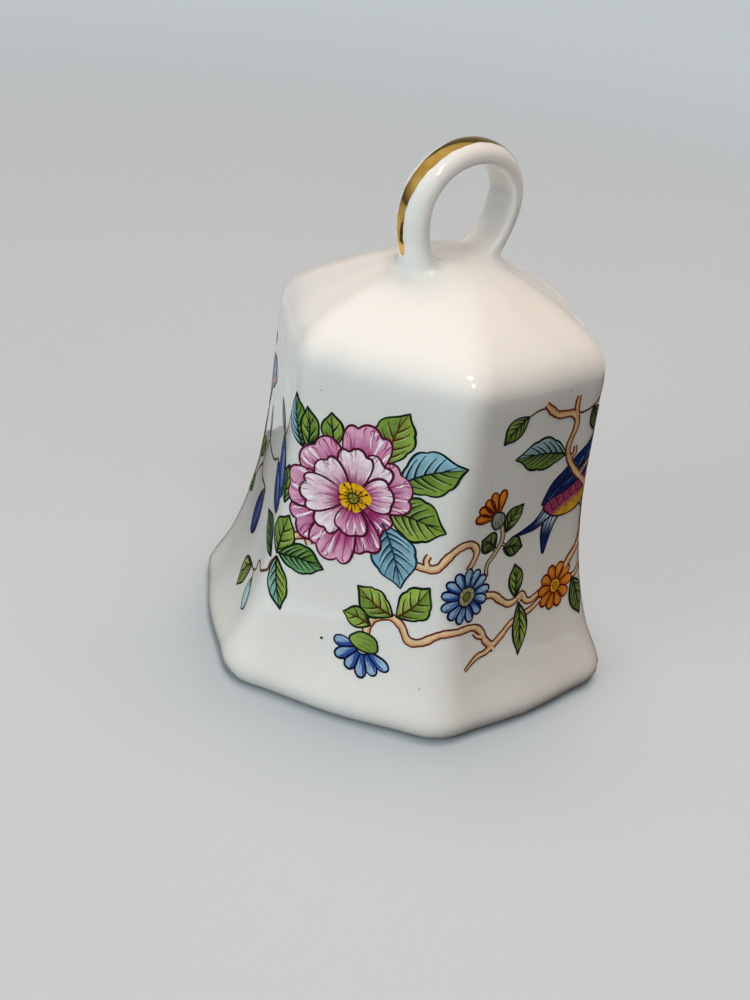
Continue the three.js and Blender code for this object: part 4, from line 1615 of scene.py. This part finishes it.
WING = [
    (31.4, 42.8), (29.8, 45.8), (27.6, 45.0), (25.0, 43.3), (22.0, 40.9), (19.8, 39.4),
    (18.4, 37.6), (17.6, 35.7), (20.0, 36.4), (23.0, 37.0), (25.4, 38.2), (28.6, 39.8),
]
TAIL_FEATHERS = [
    [(19.0, 34.6), (17.0, 33.0), (14.6, 32.0)],
    [(19.8, 34.0), (17.8, 32.4), (15.6, 31.8)],
    [(21.0, 33.2), (20.2, 31.0), (19.7, 28.6)],
    [(20.2, 33.4), (19.4, 31.2), (19.2, 29.6)],
]
TAIL_LIGHTS = [
    [(19.6, 33.6), (18.4, 32.6)],
    [(21.2, 32.6), (20.6, 31.2)],
    [(20.4, 32.6), (19.8, 31.4)],
]


def outlined(paint, places, color, level, ink=NAVY, width=0.34, spacing=0.5, step=0.4):
    outline = catmull(canvas_points(places), step, closed=True)
    fill(paint, outline, color, layer(level), spacing=spacing)
    stroke(paint, outline, hand(outline, width), ink, layer(level) + 0.005, closed=True)


def between(start, end, shift_x=0.0, shift_z=0.0):
    """A three-point line whose middle point is shifted."""
    middle = ((start[0] + end[0]) / 2 + shift_x, (start[1] + end[1]) / 2 + shift_z)
    return [start, middle, end]


def paint_tail(bird):
    root = canvas(20.2, 34.0)

    def wash(spots):
        share = smooth((np.hypot(*(spots - root).T) - 0.8) / 3.6)[:, None]
        return rgb("#a8c8d8") * (1 - share) + rgb("#1a2c68") * share

    outlined(bird, UPPER_TAIL, wash, 3)
    outlined(bird, LOWER_TAIL, wash, 3.4)
    for line in TAIL_FEATHERS:
        thin_line(bird, line, 0.34, 0.10, "#0e1636", 4)
    for start, end in TAIL_LIGHTS:
        thin_line(bird, between(start, end), 0.30, 0.12, "#dfeaf0", 4.2)


def paint_body(bird):
    def wash(spots):
        """Yellow below, rose above a rising line."""
        above = (spots[:, 1] - climb(32.8)) - 0.42 * (spots[:, 0] - 22.3)
        share = smooth((above - 0.3) / 1.3)[:, None]
        color = rgb("#d9aa2e") * (1 - share) + rgb("#a8486c") * share
        return color * (0.95 + 0.1 * np.sin(spots[:, 0] * 2.3))[:, None]

    outlined(bird, BODY, wash, 4.6, ink=rgb("#3a1430"))
    for row in range(2):
        for i in range(6):
            x, z = 19.9 + i * 1.35 + row * 0.7, 35.4 + 0.55 * i - row * 1.05
            tick = [(x - 0.5, z + 0.5), (x - 0.2, z - 0.15), (x + 0.3, z - 0.3), (x + 0.7, z + 0.2)]
            thin_line(bird, tick, 0.26, 0.16, "#5a1230", 5.6)
    for i in range(5):
        x, z = 22.0 + i * 1.5, 33.4 + 0.45 * i
        tick = [(x, z + 0.5), (x + 0.4, z + 0.1), (x + 1.0, z + 0.1)]
        thin_line(bird, tick, 0.20, 0.08, "#8a6a14", 5.6)


def paint_head(bird):
    def wash(spots):
        return rgb("#3b5ea8") * (0.8 + 0.3 * np.sin(spots[:, 0] * 2.0))[:, None]

    outlined(bird, HEAD, wash, 5.4)
    outlined(bird, BEAK, rgb("#c9a04a"), 5.4, width=0.24, spacing=0.35, step=0.3)
    white = blob(canvas(33.8, 44.6), 0.46, 0.46, count=12)
    fill(bird, white, rgb("#f2efe6"), layer(6.4), spacing=0.3)
    fill(bird, blob(canvas(33.85, 44.6), 0.27, 0.27, count=9), INK, layer(6.9), spacing=0.3)
    thin_line(bird, [(31.0, 41.8), (32.6, 42.0), (34.4, 42.8)], 0.5, 0.3, "#c4384a", 6.6)


def paint_wing(bird):
    def wash(spots):
        share = smooth((spots[:, 1] - climb(40)) / 8)
        return rgb("#1a2c68") * (0.85 + 0.5 * share)[:, None]

    outlined(bird, WING, wash, 6.4)
    for i in range(8):
        share = i / 7
        start = (30.0 - 5.4 * share, 44.6 - 3.0 * share)
        end = (26.4 - 7.4 * share, 39.8 - 3.5 * share)
        color = "#5474b4" if i % 2 else "#0c1432"
        thin_line(bird, between(start, end, 0.5, -0.4), 0.34, 0.12, color, 7.4)
    for i in range(5):
        share = i / 4
        start = (27.6 - 2.0 * share, 42.0 - 1.6 * share)
        end = (19.4 + 1.2 * share, 37.6 - 0.8 * share)
        thin_line(bird, between(start, end, 0.0, 0.2), 0.26, 0.12, "#0c1432", 7.7)


def paint_bird():
    bird = Paint("painted_bird")
    paint_tail(bird)
    paint_body(bird)
    paint_head(bird)
    paint_wing(bird)
    for x in (27.4, 29.2):  # legs
        thin_line(bird, [(x, 34.6), (x + 0.3, 33.4), (x + 1.4, 32.6)], 0.30, 0.24, "#5a3a20", 4)
    bird.make()


# ------------------------------------------------------------------ corner branch and specks
# (x, z, width) stations
CORNER_BRANCH = [
    [
        (25.8, 22.6, 0.9), (27.2, 24.4, 0.95), (29.2, 26.4, 0.95), (30.2, 29.6, 0.9),
        (29.9, 33.0, 0.85), (28.4, 36.6, 0.85), (25.4, 39.4, 0.85), (23.2, 41.8, 0.8),
        (21.8, 44.2, 0.75), (21.8, 46.0, 0.75), (22.6, 48.2, 0.8), (22.5, 50.0, 0.85),
        (21.2, 51.3, 0.9), (19.6, 51.5, 0.9), (17.4, 51.9, 0.9), (15.6, 53.1, 0.9),
        (14.2, 54.3, 0.6),
    ],
    [(22.4, 50.6, 0.7), (21.9, 52.4, 0.65), (21.9, 54.2, 0.5)],
    [(22.4, 43.0, 0.4), (23.6, 43.6, 0.45), (23.5, 44.9, 0.35)],
    [(25.6, 39.2, 0.5), (27.6, 41.0, 0.5), (29.0, 41.2, 0.3)],
]
# x, z, radius, colour
SPECKS = [
    (-20.6, 11.8, 0.30, "#3a3634"),
    (19.6, 55.6, 0.16, "#6a5a4c"),
    (5.4, 42.4, 0.12, "#7a6a5c"),
    (-3.6, 8.4, 0.13, "#6a5c50"),
    (-24.8, 52.6, 0.12, "#7a6a5c"),
]


def paint_corner_branch():
    """This branch passes in front of the wing."""
    twig = Paint("painted_corner_branch")
    branch(twig, CORNER_BRANCH, level=8.4, wash="#e3bf96")
    twig.make()


def paint_specks():
    specks = Paint("glaze_specks")
    for x, z, radius, color in SPECKS:
        outline = blob(canvas(x, z), radius, radius * 0.8, angle=20, count=9, wobble=0.08)
        fill(specks, outline, rgb(color), 0.020, spacing=0.3)
    specks.make()


# the order fixes both the objects' order and the random draws
paint_branches()
paint_leaves()
paint_bloom()
paint_daisies()
paint_buds()
paint_bird()
paint_corner_branch()
paint_specks()

# ------------------------------------------------------------------ inside the bell
STAPLE_R, STAPLE_HALF = 0.55, 1.9
STAPLE_TOP_Z = 66.8
WIRE_R = 0.5
LINK_HALF, LINK_LENGTH = 1.7, 7.1  # half width and length of a link's centre line
EYE_R = 1.7


def tube(name, line, radius, body, closed=False, sides=20):
    """Brass wire along a line, with rounded ends unless closed; radius is one or one per point."""
    count = len(line)
    radius = np.broadcast_to(np.asarray(radius, float), (count,))
    if closed:
        forward = unit(np.roll(line, -1, 0) - np.roll(line, 1, 0))
    else:
        forward = unit(np.gradient(line, axis=0))
    reference = np.array([1.0, 0, 0]) if abs(forward[0][0]) < 0.9 else np.array([0, 1.0, 0])
    across = unit(np.cross(forward[0], reference))
    turn = np.linspace(0, 2 * math.pi, sides, endpoint=False)
    rings = []
    for i in range(count):
        across = unit(across - forward[i] * np.dot(across, forward[i]))
        upward = np.cross(forward[i], across)
        rings.append(np.cos(turn)[:, None] * across + np.sin(turn)[:, None] * upward)
    points = np.vstack([line[i] + rings[i] * radius[i] for i in range(count)])
    normals = np.vstack(rings)
    faces = ring_faces(count, sides, closed)
    for i, sign in () if closed else ((0, -1), (count - 1, 1)):
        outward = sign * forward[i]
        previous = [i * sides + j for j in range(sides)]
        for share in (0.5, 0.85):
            start = len(points)
            middle = line[i] + outward * radius[i] * share * 0.6
            ring = middle + rings[i] * radius[i] * math.sqrt(1 - share * share)
            points = np.vstack([points, ring])
            normals = np.vstack([normals, unit(rings[i] + outward * share * 2)])
            for j in range(sides):
                k = (j + 1) % sides
                quad = [previous[j], previous[k], start + k, start + j]
                faces.append(quad[::sign])
            previous = [start + j for j in range(sides)]
        tip = len(points)
        points = np.vstack([points, [line[i] + outward * radius[i] * 0.62]])
        normals = np.vstack([normals, [outward]])
        for j in range(sides):
            faces.append([previous[j], previous[(j + 1) % sides], tip][::sign])
    return make_object(name, points, faces, BRASS, body, normals=normals)


def turned(name, profile, material, sides, closed_profile=False):
    """A turned part of the clapper from a (radius, z) profile that climbs on its outside."""
    turn = np.linspace(0, 2 * math.pi, sides, endpoint=False)
    ring = np.stack([np.cos(turn), np.sin(turn), np.zeros(sides)], 1)
    grid = np.array([ring * radius + [0, 0, z] for radius, z in profile])
    rows = len(grid)
    faces = ring_faces(rows, sides, closed_profile)
    if not closed_profile:
        faces.append([(rows - 1) * sides + j for j in range(sides)])
        faces.append(list(range(sides))[::-1])
    return make_object(
        name, grid.reshape(-1, 3), faces, material, "clapper",
        normals=grid_normals(grid).reshape(-1, 3),
    )


def build_staple():
    low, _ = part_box("hanger_staple")
    center_z = low.z * 1000 + STAPLE_R + STAPLE_HALF
    turn = np.linspace(math.pi, 2 * math.pi, 30)
    bend = np.stack(
        [STAPLE_HALF * np.cos(turn), np.zeros(30), center_z + STAPLE_HALF * np.sin(turn)], 1
    )
    legs = np.linspace(STAPLE_TOP_Z, center_z, 10)[:-1]
    line = np.vstack(
        [[[-STAPLE_HALF, 0, z] for z in legs], bend, [[STAPLE_HALF, 0, z] for z in legs[::-1]]]
    )
    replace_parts(tube("staple_wire", line, STAPLE_R, "bell"), "hanger_staple")


def build_link(number):
    low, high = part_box(f"chain_link_{number}")
    center_z = (low.z + high.z) * 500
    straight = LINK_LENGTH / 2 - LINK_HALF
    turn = np.linspace(0, math.pi, 25)
    top = np.stack([LINK_HALF * np.cos(turn), straight + LINK_HALF * np.sin(turn)], 1)
    side = np.linspace(straight, -straight, 9)[1:-1]
    outline = np.vstack([top, [[-LINK_HALF, z] for z in side], -top, [[LINK_HALF, -z] for z in side]])
    radius = np.full(len(outline), WIRE_R)
    # the soldered joint is a slight swelling on one side
    joint = len(top) + len(side) // 2
    radius[joint - 1 : joint + 2] *= [1.03, 1.07, 1.03]
    line = np.zeros((len(outline), 3))
    line[:, 1 if number % 2 else 0] = outline[:, 0]  # links stand crosswise in turn
    line[:, 2] = center_z + outline[:, 1]
    link = tube(f"oval_link_{number}", line, radius, f"link_{number}", closed=True)
    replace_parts(link, f"chain_link_{number}")


# (radius, z) of the upset head at the pin's foot
PIN_HEAD = [
    (0.02, 11.2), (0.9, 11.3), (1.32, 11.58), (1.35, 11.8), (1.05, 12.08), (0.52, 12.14),
]


def build_pin():
    """A wire with an eye on top, a whipping of finer wire under it and an upset head below."""
    _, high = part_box("clapper_pin")
    eye_z = high.z * 1000 - EYE_R - WIRE_R
    eye_foot_z = eye_z - EYE_R
    turn = np.linspace(-math.pi / 2, 1.5 * math.pi, 61)[:-1]
    eye = np.stack([EYE_R * np.cos(turn), np.zeros(60), eye_z + EYE_R * np.sin(turn)], 1)
    tube("pin_eye", eye, WIRE_R, "clapper", closed=True)
    shank = [(WIRE_R, z) for z in np.linspace(12.3, eye_foot_z - 0.1, 40)]
    profile = catmull(PIN_HEAD, 0.12).tolist() + shank + [(0.2, eye_foot_z)]
    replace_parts(turned("pin_shank", profile, BRASS, sides=28), "clapper_pin")
    turns, pitch, coil_r = 5, 0.44, 0.70
    count = turns * 18
    turn = np.linspace(0, 2 * math.pi * turns, count)
    coil_z = eye_foot_z - 0.55 - np.linspace(0, turns * pitch, count)
    coil = np.stack([coil_r * np.cos(turn), coil_r * np.sin(turn), coil_z], 1)
    tube("pin_whipping", coil, 0.21, "clapper", sides=10)


# (radius, z) of the clapper's outside, foot to top; its bore closes the profile
CLAPPER = [
    (0.60, 12.42), (1.5, 12.34), (2.9, 12.58), (4.4, 13.4), (5.65, 15.0), (6.35, 17.0),
    (6.48, 19.0), (6.1, 21.2), (5.2, 23.4), (4.05, 25.6), (3.02, 27.6), (2.32, 29.4),
    (1.85, 30.9), (1.45, 31.62), (0.95, 31.86), (0.60, 31.7),
]


def build_clapper():
    bore = [(0.58, z) for z in np.linspace(30.5, 13.2, 12)]
    profile = catmull(CLAPPER, 0.35).tolist() + bore
    bead = turned("china_clapper", profile, CHINA, sides=72, closed_profile=True)
    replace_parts(bead, "clapper_bead")


# (radius, z) of the cement's underside, middle to edge
CEMENT_UNDERSIDE = [
    (0.0, 64.92), (1.4, 64.98), (2.6, 65.08), (3.5, 65.42), (4.2, 65.98), (4.7, 66.6),
    (4.9, 67.02),
]
CEMENT_TOP_Z = 67.34


def build_cement():
    """A hand-pressed dab: lumpy underside, feathered edge, smoothed round the two legs."""
    sides = 72
    turn = np.linspace(0, 2 * math.pi, sides, endpoint=False)
    rng = np.random.default_rng(11)
    wave = 1 + 0.022 * np.sin(3 * turn + 0.4) + 0.016 * np.sin(5 * turn + 1.9)
    wave = wave + 0.010 * np.sin(11 * turn)
    rows = []
    for radius, z in catmull(CEMENT_UNDERSIDE, 0.28)[1:]:
        x, y = radius * wave * np.cos(turn), radius * wave * np.sin(turn)
        lump = (
            0.10 * np.sin(1.9 * x + 0.6) * np.sin(1.7 * y + 1.1)
            + 0.05 * np.sin(4.3 * x) * np.sin(3.9 * y + 0.5)
            + 0.02 * rng.uniform(-1, 1, sides)
        )
        for leg_x in (-STAPLE_HALF, STAPLE_HALF):
            lump = lump - 0.22 * np.exp(-(((x - leg_x) ** 2 + y**2) / 0.9))
        height = np.minimum(z + lump * smooth((5.0 - radius) / 1.5), 66.95)
        rows.append(np.stack([x, y, height], 1))
    for radius in (4.6, 3.6, 2.4, 1.2):
        top = np.full(sides, CEMENT_TOP_Z - 0.062 * radius)
        rows.append(np.stack([radius * np.cos(turn), radius * np.sin(turn), top], 1))
    points = np.vstack([*rows, [[0, 0, 64.90], [0, 0, CEMENT_TOP_Z]]])
    faces = ring_faces(len(rows), sides)
    last = (len(rows) - 1) * sides
    for j in range(sides):
        k = (j + 1) % sides
        faces.append([len(points) - 2, k, j])
        faces.append([len(points) - 1, last + j, last + k])
    dab = make_object("cement_dab", points, faces, CEMENT, "bell")
    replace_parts(dab, "crown_cement")


build_staple()
for number in (1, 2, 3):
    build_link(number)
build_pin()
build_clapper()
build_cement()

# ------------------------------------------------------------------ stage, in metres
BACKDROP = (0.52, 0.56, 0.58)


def stage_object(name, points, faces):
    mesh = bpy.data.meshes.new(name)
    mesh.from_pydata(points, [], faces)
    ob = bpy.data.objects.new(name, mesh)
    bpy.context.scene.collection.objects.link(ob)
    return ob


def paper(name):
    mat = Material(name)
    mat.set(
        Base_Color=mat.ramp(
            mat.noise(scale=3.0, detail=2.0),
            [(0.3, (0.540, 0.620, 0.690)), (0.7, (0.560, 0.640, 0.710))],
        ),
        Roughness=0.6,
    )
    return mat


def seen_floor():
    """The floor only the camera sees: it fades into the backdrop's grey, so no edge shows."""
    half = 4.0
    corners = [(-half, -half, 0), (half, -half, 0), (half, half, 0), (-half, half, 0)]
    floor = stage_object("floor", corners, [(0, 1, 2, 3)])
    mat = paper("pale_paper_near")
    position = mat.node("ShaderNodeNewGeometry")
    distance = mat.node("ShaderNodeVectorMath", operation="LENGTH")
    mat.put(position.outputs["Position"], distance.inputs[0])
    fade = mat.node("ShaderNodeMapRange", interpolation_type="SMOOTHSTEP")
    fade.inputs["From Min"].default_value = 0.20
    fade.inputs["From Max"].default_value = 0.55
    mat.put(distance.outputs["Value"], fade.inputs["Value"])
    glow = mat.node("ShaderNodeEmission")
    glow.inputs["Color"].default_value = (*BACKDROP, 1)
    mixed = mat.node("ShaderNodeMixShader")
    mat.put(fade.outputs["Result"], mixed.inputs["Fac"])
    mat.put(mat.bsdf.outputs[0], mixed.inputs[1])
    mat.put(glow.outputs[0], mixed.inputs[2])
    mat.put(mixed.outputs[0], mat.out.inputs["Surface"])
    floor.data.materials.append(mat.material)
    floor.visible_diffuse = floor.visible_glossy = False
    floor.visible_transmission = floor.visible_shadow = False


def bounce_floor():
    """A floor that curves up at the back, seen only by bounced light and reflections."""
    half, drop = 1.6, 0.0012
    # (y, z), near edge to the top of the sweep
    sweep = [
        (-1.2, 0.0), (0.55, 0.0), (0.80, 0.02), (0.98, 0.09), (1.10, 0.22), (1.16, 0.42),
        (1.18, 1.4),
    ]
    points = [(x, y, z - drop) for y, z in sweep for x in (-half, half)]
    faces = [(i, i + 1, i + 3, i + 2) for i in range(0, 2 * len(sweep) - 2, 2)]
    floor = stage_object("floor_for_bounce", points, faces)
    for polygon in floor.data.polygons:
        polygon.use_smooth = True
    floor.data.materials.append(paper("pale_paper").material)
    floor.visible_camera = False


def dark_board():
    """A dark leather board under the bell, seen only by reflections and bounced light."""
    corners = [(-0.192, -0.031), (0.178, 0.226), (0.42, -0.28), (0.05, -0.54)]
    board = stage_object("dark_board", [(x, y, -0.0006) for x, y in corners], [(0, 3, 2, 1)])
    mat = Material("dark_leather")
    mat.set(
        Base_Color=mat.ramp(
            mat.noise(scale=60.0), [(0.3, (0.034, 0.024, 0.021)), (0.7, (0.060, 0.044, 0.038))]
        ),
        Roughness=0.55,
    )
    board.data.materials.append(mat.material)
    board.visible_camera = False
    board.visible_shadow = False
    board.visible_transmission = False


seen_floor()
bounce_floor()
dark_board()

# ------------------------------------------------------------------ lights
LIGHT_DISTANCE, LIGHT_CENTER_Z = 0.95, 0.045
# Soft lamps that shade the china but don't mirror in it: name, azimuth (0 in front on -Y, 90 on
# +X), elevation, strength in red, green and blue
LAMPS = [
    ("cool_window", 330, 5, (5.68, 6.36, 6.50)),
    ("front_softbox", 0, 45, (0.52, 0.55, 0.55)),
    ("right_fill", 60, 20, (1.05, 1.04, 0.98)),
    ("warm_overhead", 0, 88, (1.92, 1.50, 1.20)),
    ("rear_right", 135, 68, (2.20, 1.92, 1.70)),
    ("rear", 180, 68, (1.50, 1.12, 0.88)),
    ("rear_left", 225, 68, (2.05, 1.68, 1.45)),
]


def area_light(name, azimuth, elevation, target_z, size, power, color, glossy):
    azimuth, elevation = math.radians(azimuth), math.radians(elevation)
    level = LIGHT_DISTANCE * math.cos(elevation)
    place = Vector(
        (
            level * math.sin(azimuth),
            -level * math.cos(azimuth),
            LIGHT_CENTER_Z + LIGHT_DISTANCE * math.sin(elevation),
        )
    )
    light = bpy.data.lights.new(name, "AREA")
    light.shape = "RECTANGLE"
    light.size, light.size_y = size
    light.energy = power
    light.color = color
    ob = bpy.data.objects.new(name, light)
    ob.location = place
    ob.rotation_mode = "QUATERNION"
    ob.rotation_quaternion = (Vector((0, 0, target_z)) - place).to_track_quat("-Z", "Y")
    ob.visible_glossy = glossy
    bpy.context.scene.collection.objects.link(ob)


for name, azimuth, elevation, strength in LAMPS:
    power = max(strength)
    area_light(
        name, azimuth, elevation, target_z=LIGHT_CENTER_Z, size=(0.5, 0.5), power=power,
        color=tuple(channel / power for channel in strength), glossy=False,
    )
# two window panes, seen as sparkles in the glaze
for i, (azimuth, elevation) in enumerate([(28, 65), (35, 50)]):
    area_light(
        f"window_pane_{i}", azimuth, elevation, target_z=0.06, size=(0.13, 0.10), power=0.75,
        color=(1.0, 0.97, 0.93), glossy=True,
    )


# ------------------------------------------------------------------ world, camera, render


def build_world():
    """A quiet room: light above, dimmer low down and towards +X, stronger in reflections."""
    world = bpy.data.worlds.new("studio")
    bpy.context.scene.world = world
    world.use_nodes = True
    nodes, link = world.node_tree.nodes, world.node_tree.links.new
    room = nodes["Background"]
    coordinates = nodes.new("ShaderNodeTexCoord")
    axes = nodes.new("ShaderNodeSeparateXYZ")
    link(coordinates.outputs["Generated"], axes.inputs[0])
    ramp = nodes.new("ShaderNodeValToRGB")
    stops = ramp.color_ramp.elements
    stops[0].position, stops[0].color = 0.0, (0.10, 0.10, 0.11, 1)
    stops[1].position, stops[1].color = 1.0, (0.95, 0.90, 0.84, 1)
    stops.new(0.12).color = (0.20, 0.21, 0.23, 1)
    stops.new(0.45).color = (0.62, 0.63, 0.63, 1)
    link(axes.outputs["Z"], ramp.inputs["Fac"])
    side = nodes.new("ShaderNodeMapRange")
    side.inputs["From Min"].default_value = -0.6
    side.inputs["From Max"].default_value = 0.8
    side.inputs["To Min"].default_value = 1.15
    side.inputs["To Max"].default_value = 0.45
    link(axes.outputs["X"], side.inputs["Value"])
    path = nodes.new("ShaderNodeLightPath")
    gain = nodes.new("ShaderNodeMapRange")
    gain.inputs["To Min"].default_value = 0.10
    gain.inputs["To Max"].default_value = 0.75
    link(path.outputs["Is Glossy Ray"], gain.inputs["Value"])
    strength = nodes.new("ShaderNodeMath")
    strength.operation = "MULTIPLY"
    link(side.outputs["Result"], strength.inputs[0])
    link(gain.outputs["Result"], strength.inputs[1])
    link(ramp.outputs["Color"], room.inputs["Color"])
    link(strength.outputs[0], room.inputs["Strength"])
    # beyond the floor the camera sees the same pale grey
    plain = nodes.new("ShaderNodeBackground")
    plain.inputs["Color"].default_value = (*BACKDROP, 1)
    both = nodes.new("ShaderNodeMixShader")
    link(path.outputs["Is Camera Ray"], both.inputs["Fac"])
    link(room.outputs[0], both.inputs[1])
    link(plain.outputs[0], both.inputs[2])
    link(both.outputs[0], nodes["World Output"].inputs["Surface"])


def build_camera():
    lens = bpy.data.cameras.new("camera")
    camera = bpy.data.objects.new("camera", lens)
    bpy.context.scene.collection.objects.link(camera)
    right = Vector((0.93097, 0.34475, 0.12018))
    up = Vector((-0.26177, 0.40084, 0.87796))
    forward = Vector((-0.25450, 0.84881, -0.46341))
    pose = Matrix((right, up, -forward)).transposed().to_4x4()
    pose.translation = Vector((65.08, -240.95, 154.36)) * MM
    camera.matrix_world = pose
    lens.sensor_width = 36
    lens.lens = 58.2
    lens.clip_start = 0.01
    lens.clip_end = 20
    bpy.context.scene.camera = camera


build_world()
build_camera()

scene = bpy.context.scene
scene.view_settings.view_transform = "Standard"
scene.view_settings.look = "None"
scene.cycles.use_denoising = True
scene.cycles.max_bounces = 10
